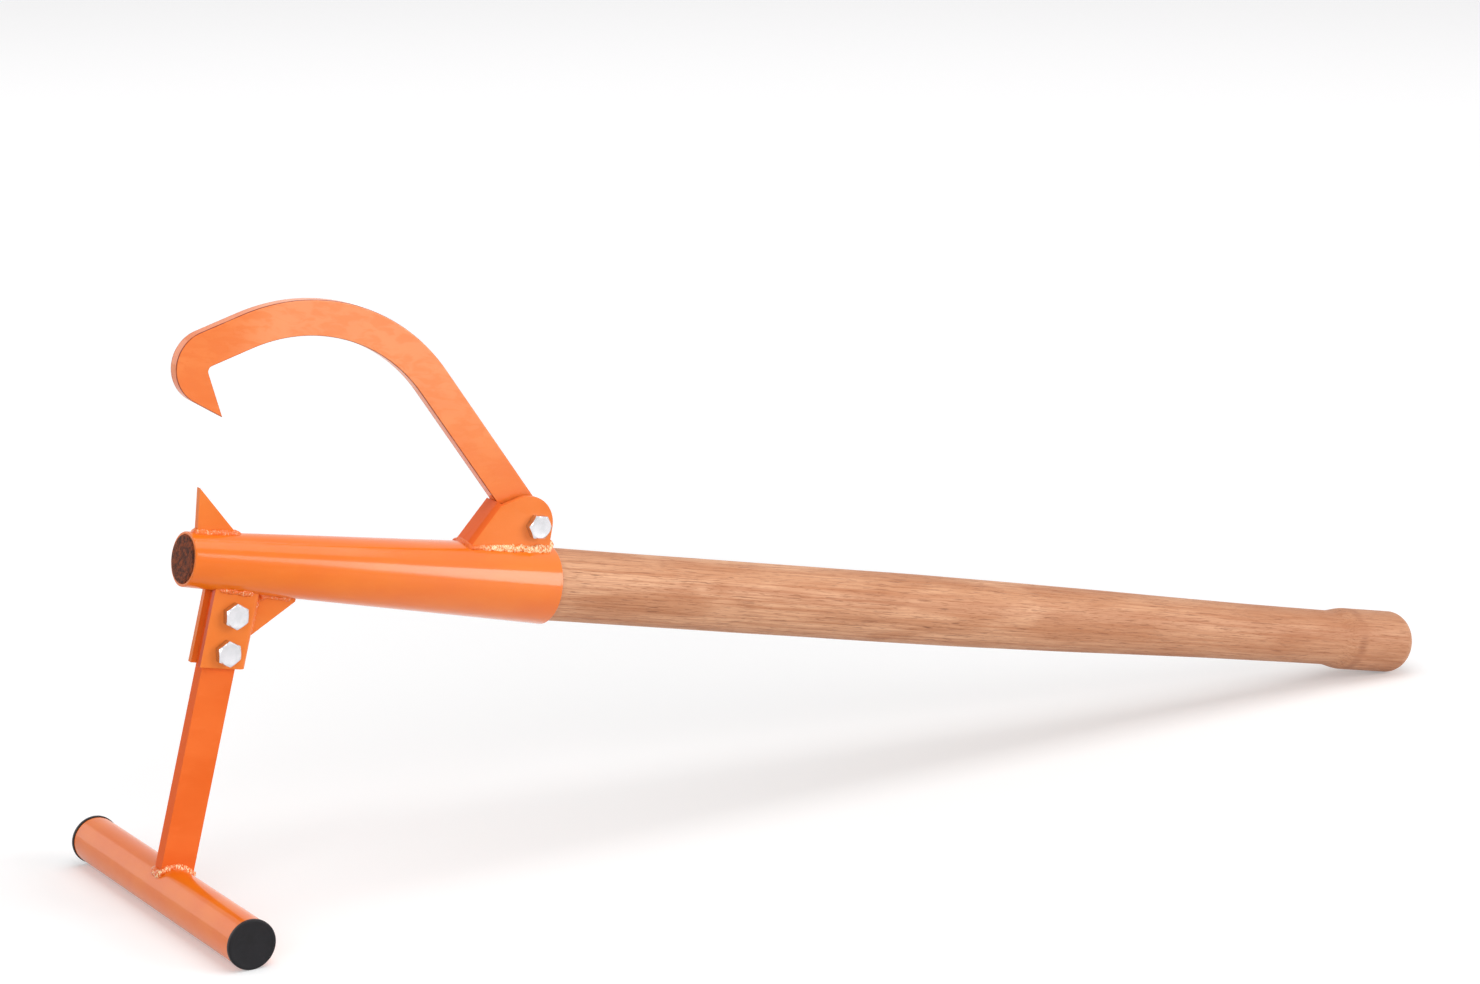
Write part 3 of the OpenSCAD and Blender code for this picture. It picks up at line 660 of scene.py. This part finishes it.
def make_beads(paint, clevis_paint, foot_paint):
    """Every weld of the tool, each along the line where its plate meets the steel."""
    inside = 0.4
    half = SPIKE_T / 2 - inside
    x0, x1 = SPIKE_FOOT
    corners = np.array([(x1 + 4.5, 0.5), (x1, -half), (x0 + 1, -half), (x0 - 0.3, -half * 0.4),
                        (x0 - 0.3, half * 0.4), (x0 + 1, half), (x1, half), (x1 + 4.5, -0.5)])
    ring = on_steel(corners[:, 0], corners[:, 1], 1)
    round_spike = bead(ring, from_pole_axis, WELD_R * 0.93, seed=3, rough=1.3, size=SPIKE_BEAD)
    piece("spike_bead", "spike_weld", [round_spike], paint, crease=180)

    half = CLEVIS_W / 2 - inside
    x0, x1 = CLEVIS_FOOT
    run = np.linspace(x0 + 1, x1 + 2.6, 30)
    sides = [on_steel(run, side * half, 1) for side in (1, -1)]
    front = on_steel(np.full(9, x0 + 0.3), np.linspace(half - 1, 1 - half, 9), 1)
    around = np.vstack([sides[0][::-1], front, sides[1]])
    beads = [bead(around, from_pole_axis, WELD_R * 1.08, seed=11, rough=1.9, size=CLEVIS_BEAD)]
    for side, seed in ((1, 21), (-1, 22)):
        x = np.array([x1 - 4, x1 + 1.5, x1 + 2.6, x1 + 1.8])
        lump = on_steel(x, side * (half - np.array([0.0, 1.2, 2.4, 3.0])), 1)
        lump[:, 2] += np.array([0.2, 1.5, 4.0, 6.2])
        beads.append(bead(lump, from_pole_axis, WELD_R * 0.85, seed, rough=1.6, size=CLEVIS_LUMP))
    piece("clevis_bead", "clevis_weld", beads, clevis_paint, crease=180)

    half = BRACKET_W / 2 - inside
    run = BRACKET_AT + np.linspace(BRACKET_FRONT + 3, BRACKET_BACK - 6, 12)
    beads = [bead(on_steel(run, side * half, -1), from_pole_axis, WELD_R * 0.9, seed=31 + side, rough=2.0,
                  size=BRACKET_BEAD) for side in (1, -1)]
    piece("bracket_bead", "bracket_weld", beads, paint, crease=180)

    half = GUSSET_T / 2 - inside
    run = BRACKET_AT + BRACKET_BACK + np.linspace(2, GUSSET_LEN - 4, 10)
    drop = np.column_stack([np.full(10, BRACKET_BACK), np.zeros(10), np.linspace(-2, 3 - GUSSET_H, 10)])
    beads = []
    for side in (1, -1):
        under = on_steel(run, side * half, -1)
        down = leg_to_pole(drop + np.array([0, side * half, 0]))
        beads.append(bead(under, from_pole_axis, WELD_R * 0.78, seed=41 + side, rough=1.6))
        beads.append(bead(down, lambda p, way=side: np.broadcast_to([0.7, way, 0.0], p.shape).copy(),
                          WELD_R * 0.78, seed=44 + side, rough=1.4))
    piece("gusset_bead", "gusset_weld", beads, paint, crease=180)

    reach = math.asin(LEG_W / 2 / FOOT_R)
    swing = np.linspace(-reach, reach, 25)
    arc = np.column_stack([FOOT_R * np.sin(swing), np.zeros(25), FOOT_R * np.cos(swing) - LEG_DROP])
    side = np.array([0, LEG_T / 2 - inside, 0])
    path = leg_to_pole(np.vstack([arc + side, (arc - side)[::-1]]))
    seam = bead(path, from_foot_axis, WELD_R * 0.92, seed=51, closed=True, rough=2.1, pool_high=0.07)
    piece("foot_bead", "foot_weld", [seam], foot_paint, crease=180)


# Finishes

class Wire:
    """An output of a node. Arithmetic on it adds Math nodes."""

    def __init__(self, bench, socket):
        self.bench, self.socket = bench, socket

    def _math(self, operation, *terms):
        return self.bench.node("ShaderNodeMath", {"operation": operation}, dict(enumerate(terms)))

    def __add__(self, other):
        return self._math("ADD", self, other)

    def __sub__(self, other):
        return self._math("SUBTRACT", self, other)

    def __rsub__(self, other):
        return self._math("SUBTRACT", other, self)

    def __mul__(self, other):
        return self._math("MULTIPLY", self, other)

    def __truediv__(self, other):
        return self._math("DIVIDE", self, other)

    def __pow__(self, other):
        return self._math("POWER", self, other)

    __radd__, __rmul__ = __add__, __mul__

    def most(self, other):
        return self._math("MAXIMUM", self, other)

    def wave(self):
        return self._math("SINE", self)

    def absolute(self):
        return self._math("ABSOLUTE", self)


class Bench:
    """A node tree being built."""

    def __init__(self, tree):
        self.tree = tree

    def node(self, kind, settings, inputs, out=0):
        """Adds a node: its settings first, then a value or a link for each input by number or name. Gives
        the output numbered or named by out."""
        made = self.tree.nodes.new(kind)
        for setting, value in settings.items():
            setattr(made, setting, value)
        for key, value in inputs.items():
            self.feed(made.inputs[key], value)
        return Wire(self, made.outputs[out])

    def feed(self, socket, value):
        """Links a wire to a socket, or sets the socket to a number, a vector or a colour."""
        if isinstance(value, Wire):
            self.tree.links.new(value.socket, socket)
        elif socket.type == "RGBA" and len(value) == 3:
            socket.default_value = (*value, 1)
        else:
            socket.default_value = value

    def split(self, at):
        """The three parts of a vector."""
        return [self.node("ShaderNodeSeparateXYZ", {}, {0: at}, out=k) for k in range(3)]

    def mix(self, factor, a, b):
        """Turns colour a towards colour b. Those that aren't wires are written as 0 to 255."""
        a, b = (colour if isinstance(colour, Wire) else srgb(*colour) for colour in (a, b))
        return self.node("ShaderNodeMix", {"data_type": "RGBA"}, {0: factor, 6: a, 7: b}, out=2)

    def band(self, value, low, high):
        """0 below low, 1 above high, and a smooth step between."""
        return self.node("ShaderNodeMapRange", {"interpolation_type": "SMOOTHSTEP"},
                         {"Value": value, "From Min": low, "From Max": high, "To Min": 0.0, "To Max": 1.0})

    def noise(self, at, scale, detail=2.0, rough=0.5, twist=0.0):
        """Soft random values between 0 and 1 at so many lumps a unit."""
        return self.node("ShaderNodeTexNoise", {}, {"Vector": at, "Scale": scale, "Detail": detail,
                                                    "Roughness": rough, "Distortion": twist})

    def bump(self, height, distance, strength):
        """Tilts the surface by a height, given in units of the distance, in metres."""
        return self.node("ShaderNodeBump", {}, {"Height": height, "Distance": distance, "Strength": strength})

    def seen(self):
        """1 for what the camera sees, also in or through a surface, and 0 for light on things."""
        kinds = ("Is Camera Ray", "Is Glossy Ray", "Is Transmission Ray")
        camera, glossy, clear = (self.node("ShaderNodeLightPath", {}, {}, out=kind) for kind in kinds)
        return camera.most(glossy).most(clear)


class Finish(Bench):
    """A material with one Principled shader, whose even values are set on its own sockets."""

    def __init__(self, name, even):
        self.material = bpy.data.materials.new(name)
        self.material.use_nodes = True
        super().__init__(self.material.node_tree)
        self.shader = self.tree.nodes["Principled BSDF"]
        for socket, value in even.items():
            self.feed(self.shader.inputs[socket], value)

    def coordinates(self, in_pole_frame=True):
        """Object coordinates, in metres, turned and moved to the pole's frame."""
        here = self.node("ShaderNodeTexCoord", {}, {}, out="Object")
        if not in_pole_frame:
            return here
        c, s = math.cos(POLE_SLOPE), math.sin(POLE_SLOPE)
        shift = (POLE_MIDDLE * c + POLE_LIFT * s, 0.0, POLE_MIDDLE * s - POLE_LIFT * c)
        return self.node("ShaderNodeMapping", {}, {"Vector": here, "Rotation": (0.0, -POLE_SLOPE, 0.0),
                                                   "Location": tuple(v * MM for v in shift)})

    def drawn(self, at, scale, shift=(0.0, 0.0, 0.0), detail=2.0, rough=0.5, twist=0.0):
        """Noise with so many lumps a metre along each axis, two numbers standing for along and across."""
        scale = scale if len(scale) == 3 else (scale[0], scale[1], scale[1])
        scaled = self.node("ShaderNodeMapping", {}, {"Vector": at, "Scale": scale, "Location": shift})
        return self.noise(scaled, 1.0, detail, rough, twist)

    def span(self, value, low, high):
        """A smooth step between two lengths in millimetres."""
        return self.band(value, low * MM, high * MM)

    def inside(self, value, low, high, soft):
        """1 between two lengths in millimetres, with a soft step inside each."""
        return self.span(value, low, low + soft) * (1 - self.span(value, high - soft, high))

    def wear(self, **varying):
        """Feeds the shader's inputs that change over the surface, and gives the material."""
        for name, value in varying.items():
            self.feed(self.shader.inputs[name.replace("_", " ")], value)
        return self.material


def srgb(red, green, blue):
    """A colour of 0 to 255 as its light: ((c + 0.055) / 1.055) ^ 2.4, or c / 12.92 when dark."""
    parts = np.array([red, green, blue]) / 255
    return tuple(np.where(parts > 0.04045, ((parts + 0.055) / 1.055) ** 2.4, parts / 12.92).tolist())


def wood_finish():
    """Sanded hardwood: tone patches drawn out along the pole, growth rings about a heart below it, fine
    lines, short dark pores and dashes, a few flecks, a slow darkening towards the butt, a scorched ring
    at the swell, and dark end grain at both ends."""
    f = Finish("pole_wood", {"IOR": 1.45, "Specular IOR Level": 0.35})
    at = f.coordinates()
    x, y, z = f.split(at)

    patches = f.drawn(at, (9.0, 45.0), detail=3.0, rough=0.55, twist=0.6)
    streaks = f.drawn(at, (7.0, 420.0), detail=4.0, rough=0.6, twist=0.3)
    drift = f.drawn(at, (5.0, 28.0), (3.0, 1.0, 7.0))
    heart_y, heart_z = y - 0.031 + drift * 0.016, z + 0.055 - drift * 0.012
    rings_a_metre = 1500.0
    rings = ((heart_y * heart_y + heart_z * heart_z) ** 0.5) * rings_a_metre + streaks * 2.2
    ring = rings.wave() * 0.5 + 0.5
    lines = f.drawn(at, (16.0, 950.0), (4.0, 2.0, 6.0), detail=3.0, rough=0.6, twist=0.2)
    pores = f.drawn(at, (105.0, 1600.0))
    pore = f.band(pores, 0.56, 0.68)
    dashes = f.band(f.drawn(at, (44.0, 700.0), (1.7, 0.3, 0.9), rough=0.45), 0.62, 0.72)
    fleck = f.band(f.drawn(at, (26.0, 240.0), (9.0, 2.0, 4.0), detail=1.0, rough=0.4), 0.74, 0.80)
    swell = POLE_LEN - NECK_BACK + NECK_RAMP
    ring_line = x + (drift - 0.5) * 0.012
    scorch = f.span(ring_line, swell - 7, swell) * (1 - f.span(ring_line, swell + 1, swell + 9))

    tone = f.mix(f.band(patches, 0.34, 0.66), (196, 139, 102), (222, 170, 133))
    for cover, colour in (
        (ring * 0.24, (178, 116, 78)),
        (f.band(streaks, 0.44, 0.68) * 0.52, (174, 109, 70)),
        (f.band(lines, 0.46, 0.66) * 0.42, (160, 99, 64)),
        (pore * 0.42, (140, 84, 56)),
        (dashes * 0.48, (120, 68, 44)),
        (fleck * 0.65, (88, 50, 34)),
        (f.span(x, 620, 1120) * 0.34, (178, 118, 84)),
        (scorch * f.band(patches, 0.30, 0.6) * 0.42, (144, 84, 54)),
    ):
        tone = f.mix(cover, tone, colour)

    grains = f.drawn(at, (200.0, 330.0), detail=5.0, rough=0.7, twist=0.5)
    specks = f.node("ShaderNodeTexVoronoi", {}, {"Vector": at, "Scale": 620.0})
    sawn = f.mix(f.band(grains, 0.38, 0.62), (56, 22, 10), (136, 66, 34))
    sawn = f.mix(f.band(specks, 0.10, 0.42) * 0.75 + 0.25, (36, 16, 10), sawn)
    butt = f.mix(f.band(grains, 0.3, 0.7), (128, 80, 56), (176, 122, 90))
    at_front = 1 - f.span(x, -0.4, 0.3)
    tone = f.mix(f.span(x, POLE_LEN - 5, POLE_LEN - 0.6), tone, butt)
    tone = f.mix(at_front, tone, sawn)

    height = streaks * 0.35 + pores * 0.25 - pore * 0.5 - dashes * 0.8 - fleck * 0.6 + ring * 0.12
    height = height * (1 - at_front) + grains * at_front * 4.0
    return f.wear(Base_Color=tone, Roughness=0.46 + streaks * 0.14 + pore * 0.2 + at_front * 0.25,
                  Normal=f.bump(height, 0.00022, 0.9))


# Written colours of each paint: its main, its deeper and its paler tone
SOCKET_TONES = ((236, 118, 16), (232, 110, 10), (239, 128, 32))
PLATE_TONES = ((236, 126, 50), (231, 116, 38), (239, 136, 64))
CLEVIS_TONES = ((238, 131, 64), (233, 121, 50), (241, 142, 78))
BAR_TONES = ((238, 132, 60), (232, 114, 40), (241, 153, 102))
LEG_TONES = ((238, 114, 50), (231, 104, 40), (243, 124, 64))
BEAD_TONES = ((240, 120, 36), (226, 98, 20), (248, 140, 66))
# Painted shade: deeper tones that stand in for shade on the clevis's web, the bracket's near lip and the
# leg's front edge
WEB_PAINTED_SHADE = (231, 101, 40)
LIP_PAINTED_SHADE = (208, 78, 30)
LEG_EDGE_PAINTED_SHADE = (234, 99, 36)
EDGE_LINE_SHADE = (142, 50, 24)
# Painted highlight: the pale glints on weld crests
PAINTED_GLINT_TONE = (255, 216, 166)


class Paint(Finish):
    """Stoved paint over steel: slow tone changes, a fine orange peel and nibs of dust under a clear
    gloss. Body is the paint's own specular level, and coat is the gloss's weight. Each further method
    adds what one piece shows, painted light, painted shade and painted highlights among them. Places are in
    millimetres in the pole's frame."""

    def __init__(self, name, tones, body, coat):
        super().__init__(name, {"IOR": 1.5, "Coat Roughness": 0.11, "Specular IOR Level": body})
        self.at, self.coat = self.coordinates(), coat
        self.x, self.y, self.z = self.split(self.at)
        colour, self.deep, self.pale = tones
        slow = self.drawn(self.at, (14.0, 30.0), detail=3.0)
        peel = self.noise(self.at, 620.0)
        self.fine = self.noise(self.at, 2100.0, rough=0.6)
        nib = self.band(self.noise(self.at, 900.0, 1.0, 0.3), 0.76, 0.80)
        self.smear = self.drawn(self.at, (60.0, 160.0), (2.0, 5.0, 1.0), 3.0, 0.6, 0.5)
        self.tone = self.mix(self.band(slow, 0.32, 0.70), colour, self.deep)
        self.cover(self.band(self.smear, 0.50, 0.78) * 0.22, self.pale)
        self.cover(nib * 0.35, self.deep)
        self.height = peel * 0.25 + self.fine * 0.06 + nib * 0.5

    def cover(self, share, colour):
        """Turns the tone towards a colour."""
        self.tone = self.mix(share, self.tone, colour)

    def dull(self, share):
        """Takes a share of the gloss away."""
        self.coat = (1 - share) * self.coat

    def dull_front(self, low, begin, end):
        """Less gloss in front of a stretch of x."""
        self.coat = self.span(self.x, begin, end) * (self.coat - low) + low
        return self

    def bow(self, low, high, nose, behind_nose):
        """Painted light, paler from a low to a high z up the bow behind the nose, and a blotchy tone, most of
        all on the nose, which lies in front of a stretch of x."""
        behind = self.span(self.x, nose, behind_nose)
        # Painted light: the bow turns paler higher up
        self.cover(self.span(self.z, low, high) * behind * 0.75, self.pale)
        self.cover(self.band(self.smear, 0.42, 0.60) * ((1 - behind) * 0.45 + 0.35), self.deep)
        return self

    def painted_shade_face(self, place, normal, depth, sides, shade):
        """Painted shade: a deeper tone and no gloss, down to a depth under a plane with a point and a normal
        in x and z, and between two values of y, where the piece lies in shade."""
        under = (self.x - place[0] * MM) * normal[0] + (self.z - place[1] * MM) * normal[1]
        face = self.span(under, -depth, -depth * 0.8) * self.inside(self.y, *sides, 0.4)
        # Painted shade: the deeper tone stands in for shade, and the gloss is taken away with it
        self.cover(face, shade)
        self.dull(face)
        return self

    def edge_line(self, low, high):
        """A dark, dull line along a plate's edges, between two distances from its middle."""
        line = self.inside(self.y.absolute(), low, high, 0.2)
        self.cover(line * (self.band(self.smear, 0.30, 0.50) * 0.3 + 0.7), EDGE_LINE_SHADE)
        self.dull(line)
        return self

    def specks(self, strength, least, begin=-1000.0):
        """A weld's crests, with painted highlights: pale glints where the ripples catch the light, and a
        rougher bump. Gives how pale, how rare, and from which x.
        """
        crest = self.drawn(self.at, (850.0, 420.0), detail=3.0, rough=0.6, twist=0.8)
        painted_glint = self.band(crest, least, least + 0.07) * self.span(self.x, begin, begin + 20) * strength
        # Painted highlights: pale glints on the crests
        self.cover(painted_glint, PAINTED_GLINT_TONE)
        self.height = self.height + crest * 1.8 + self.noise(self.at, 1300.0) * 0.5
        return self

    def done(self):
        """The material, when nothing more comes over it."""
        return self.wear(Base_Color=self.tone, Roughness=0.26 + self.smear * 0.10 + self.fine * 0.04,
                         Coat_Weight=self.coat, Normal=self.bump(self.height, 0.00010, 0.7))


def zinc_finish():
    """Bright zinc plating: faint cloudy tones, fine scratches one way and few small dull pits."""
    f = Finish("zinc_plate", {"Metallic": 1.0})
    at = f.coordinates()
    smudge = f.noise(at, 170.0)
    scratches = f.drawn(at, (300.0, 900.0, 2600.0), rough=0.6)
    pits = f.band(f.noise(at, 1300.0, 1.0, 0.4), 0.76, 0.80)
    tone = f.mix(f.band(smudge, 0.3, 0.7), (218, 217, 220), (206, 206, 209))
    tone = f.mix(pits * 0.4, tone, (150, 151, 156))
    return f.wear(Base_Color=tone, Roughness=0.16 + smudge * 0.08 + scratches * 0.05,
                  Normal=f.bump(scratches * 0.10 + smudge * 0.15 - pits * 0.4, 0.00005, 0.5))


def plastic_finish():
    """Moulded black plastic: a fine even grain, faint flow marks and rubbed places a little duller."""
    f = Finish("cap_black", {"IOR": 1.49, "Specular IOR Level": 0.25})
    at = f.coordinates(in_pole_frame=False)
    grain = f.noise(at, 2600.0, 3.0, 0.6)
    flow = f.noise(at, 90.0, 3.0, 0.5, 1.0)
    rub = f.noise(at, 300.0, 2.0, 0.6)
    tone = f.mix(f.band(flow, 0.3, 0.7), (17, 16, 19), (23, 22, 26))
    tone = f.mix(f.band(rub, 0.6, 0.75) * 0.14, tone, (50, 49, 54))
    return f.wear(Base_Color=tone, Roughness=0.42 + rub * 0.16,
                  Normal=f.bump(grain * 0.6 + flow * 0.2, 0.00008, 0.7))


# Floor, lamps and camera

FLOOR_HALF = 30.0
FLOOR_WHITE = 0.80
FLOOR_GLOW = 0.168
FLOOR_GLOW_RISE = 0.52
FLOOR_GLOW_SPREAD = 1.25
FLOOR_GLOW_FADE = 0.11
# The far fade lies between these two squares of the distance
FLOOR_FADE_FROM = 10.0
FLOOR_FADE_TO = 44.0
GLOW_COLOUR = (1.0, 0.995, 1.0)
ROOM_LIGHT = 0.36
# Each lamp's place, the point it is aimed at, its size along and across, and its radiance: overhead, right
# front, left front, left behind
SOFTBOXES = (
    ((-0.10, -0.28, 1.90), (-0.1, 0.0, 0.0), (1.90, 1.50), 2.2),
    ((2.87, -3.29, 1.52), (-0.2, 0.0, 0.2), (2.85, 2.50), 5.0),
    ((-2.40, -1.90, 1.20), (-0.3, 0.0, 0.2), (1.60, 1.40), 3.0),
    ((-2.60, 3.40, 1.40), (-0.5, 0.0, 0.1), (3.40, 2.50), 1.1),
)
CAMERA_AT = (-1.64316, -2.35893, 0.92809)
CAMERA_RIGHT = (0.83714, -0.54697, 0.00468)
CAMERA_DOWN = (-0.12395, -0.19802, -0.97233)
CAMERA_AHEAD = (0.53276, 0.8134, -0.23357)
CAMERA_LENS = 90.8817


def make_floor():
    """A wide pale floor that keeps the tool's shadow. Where it is seen, it also glows towards white:
    least near the tool, where the lamps light it, as d^2 / (d^2 + spread^2) with the distance d, less a
    fade far off."""
    mesh = bpy.data.meshes.new("floor")
    corners = [(x * FLOOR_HALF, y * FLOOR_HALF, 0) for x, y in ((-1, -1), (1, -1), (1, 1), (-1, 1))]
    mesh.from_pydata(corners, [], [(0, 1, 2, 3)])
    floor = placed("floor", mesh)
    f = Finish("floor_white", {"Base Color": (FLOOR_WHITE,) * 3, "Roughness": 0.9, "Specular IOR Level": 0.1})
    at = f.coordinates(in_pole_frame=False)
    square = f.node("ShaderNodeVectorMath", {"operation": "DOT_PRODUCT"}, {0: at, 1: at}, out="Value")
    strength = (square / (square + FLOOR_GLOW_SPREAD ** 2) * FLOOR_GLOW_RISE
                - f.band(square, FLOOR_FADE_FROM, FLOOR_FADE_TO) * FLOOR_GLOW_FADE + FLOOR_GLOW)
    glow = f.node("ShaderNodeEmission", {}, {"Color": GLOW_COLOUR, "Strength": f.seen() * strength})
    both = f.node("ShaderNodeAddShader", {}, {0: Wire(f, f.shader.outputs[0]), 1: glow})
    f.feed(f.tree.nodes["Material Output"].inputs["Surface"], both)
    mesh.materials.append(f.material)


def make_studio():
    """White surroundings where they are seen, an even room light, and soft square lamps. A lamp's power
    is its radiance times pi times its area."""
    world = bpy.data.worlds.new("room")
    world.use_nodes = True
    bpy.context.scene.world = world
    room = Bench(world.node_tree)
    ground = world.node_tree.nodes["Background"]
    room.feed(ground.inputs["Color"], GLOW_COLOUR)
    room.feed(ground.inputs["Strength"], room.seen() * (1.0 - ROOM_LIGHT) + ROOM_LIGHT)
    for number, (place, aim, size, radiance) in enumerate(SOFTBOXES):
        lamp = bpy.data.lights.new(f"softbox_{number}", "AREA")
        lamp.shape = "RECTANGLE"
        lamp.size, lamp.size_y = size
        lamp.energy = radiance * math.pi * size[0] * size[1]
        holder = placed(f"softbox_{number}", lamp)
        holder.location = place
        holder.rotation_euler = (Vector(aim) - Vector(place)).to_track_quat("-Z", "Y").to_euler()


def make_camera():
    """The camera where the photographer stood."""
    data = bpy.data.cameras.new("camera")
    data.sensor_fit = "HORIZONTAL"
    data.sensor_width = 36.0
    data.lens = CAMERA_LENS
    data.clip_start, data.clip_end = 0.05, 100.0
    camera = placed("camera", data)
    up, back = ([-v for v in axis] for axis in (CAMERA_DOWN, CAMERA_AHEAD))
    axes = Matrix([CAMERA_RIGHT, up, back]).transposed().to_4x4()
    camera.matrix_world = Matrix.Translation(CAMERA_AT) @ axes
    bpy.context.scene.camera = camera


# The tool

def plate_paints():
    """The paints of the clevis, the bracket and the leg. The clevis's web, the bracket's near lip and the
    leg's front edge are turned from the stronger lamps and shaded by the pieces beside them, and they carry
    painted shade: a deeper tone without gloss."""
    web_foot = (CLEVIS_FOOT[0], float(cone_r(CLEVIS_FOOT[0])))
    web_normal = (-math.sin(CLEVIS_SLOPE), math.cos(CLEVIS_SLOPE))
    forward = (-math.cos(LEG_LEAN), math.sin(LEG_LEAN))
    lip, edge = (leg_to_pole([x, 0.0, 0.0])[[0, 2]].tolist() for x in (BRACKET_FRONT, -LEG_W / 2))
    clevis = Paint("clevis_orange_paint", CLEVIS_TONES, 0.1, 0.2)
    # Painted shade on the clevis's web, under the hook's arm
    clevis.painted_shade_face(web_foot, web_normal, 4.0, (-11.6, 11.6), WEB_PAINTED_SHADE)
    bracket = Paint("bracket_orange_paint", PLATE_TONES, 0.1, 0.2)
    # Painted shade on the bracket's near lip
    bracket.painted_shade_face(lip, forward, 0.6, (-9.9, -5.0), LIP_PAINTED_SHADE)
    leg = Paint("leg_orange_paint", LEG_TONES, 0.05, 0.0)
    # Painted shade on the leg's front edge, recessed inside the bracket
    leg.painted_shade_face(edge, forward, 1.5, (-5.0, 5.0), LEG_EDGE_PAINTED_SHADE)
    return clevis.done(), bracket.done(), leg.done()


def main():
    """Every piece of the tool, then the floor, the lamps and the camera."""
    bpy.context.scene.view_settings.view_transform = "Standard"
    orange = Paint("orange_paint", SOCKET_TONES, 0.15, 1.0).dull_front(0.5, 60, 220).done()
    plate = Paint("plate_orange_paint", PLATE_TONES, 0.1, 0.2).done()
    clevis_paint, bracket_paint, leg_paint = plate_paints()
    # The hook's bar, with painted light paler up its bow
    bar = Paint("bar_orange_paint", BAR_TONES, 0.2, 0.45).bow(50, 170, -5, 50).edge_line(3.8, 4.94).done()
    black = plastic_finish()

    make_pole(wood_finish())
    make_socket(orange)
    softened("spike_plate", "spike", plate)
    softened("clevis_plate", "hook_clevis", clevis_paint)
    make_hook(bar)
    make_fasteners(zinc_finish())
    softened("bracket_plate", "leg_bracket", bracket_paint)
    softened("gusset_plate", "gusset", plate)
    softened("leg_bar", "leg", leg_paint, LEG_EDGE)
    make_foot_tube(orange)
    make_cap("cap_near_plug", "cap_near", -1, black)
    make_cap("cap_far_plug", "cap_far", 1, black)
    # Each bead paint carries painted highlights, pale glints on its weld crests
    make_beads(Paint("bead_orange_paint", BEAD_TONES, 0.2, 0.5).specks(0.8, 0.57).done(),
               Paint("bright_bead_paint", BEAD_TONES, 0.2, 0.5).specks(1.0, 0.44, 226).done(),
               Paint("foot_bead_paint", BEAD_TONES, 0.2, 0.5).specks(1.0, 0.51).done())
    make_floor()
    make_studio()
    make_camera()


main()
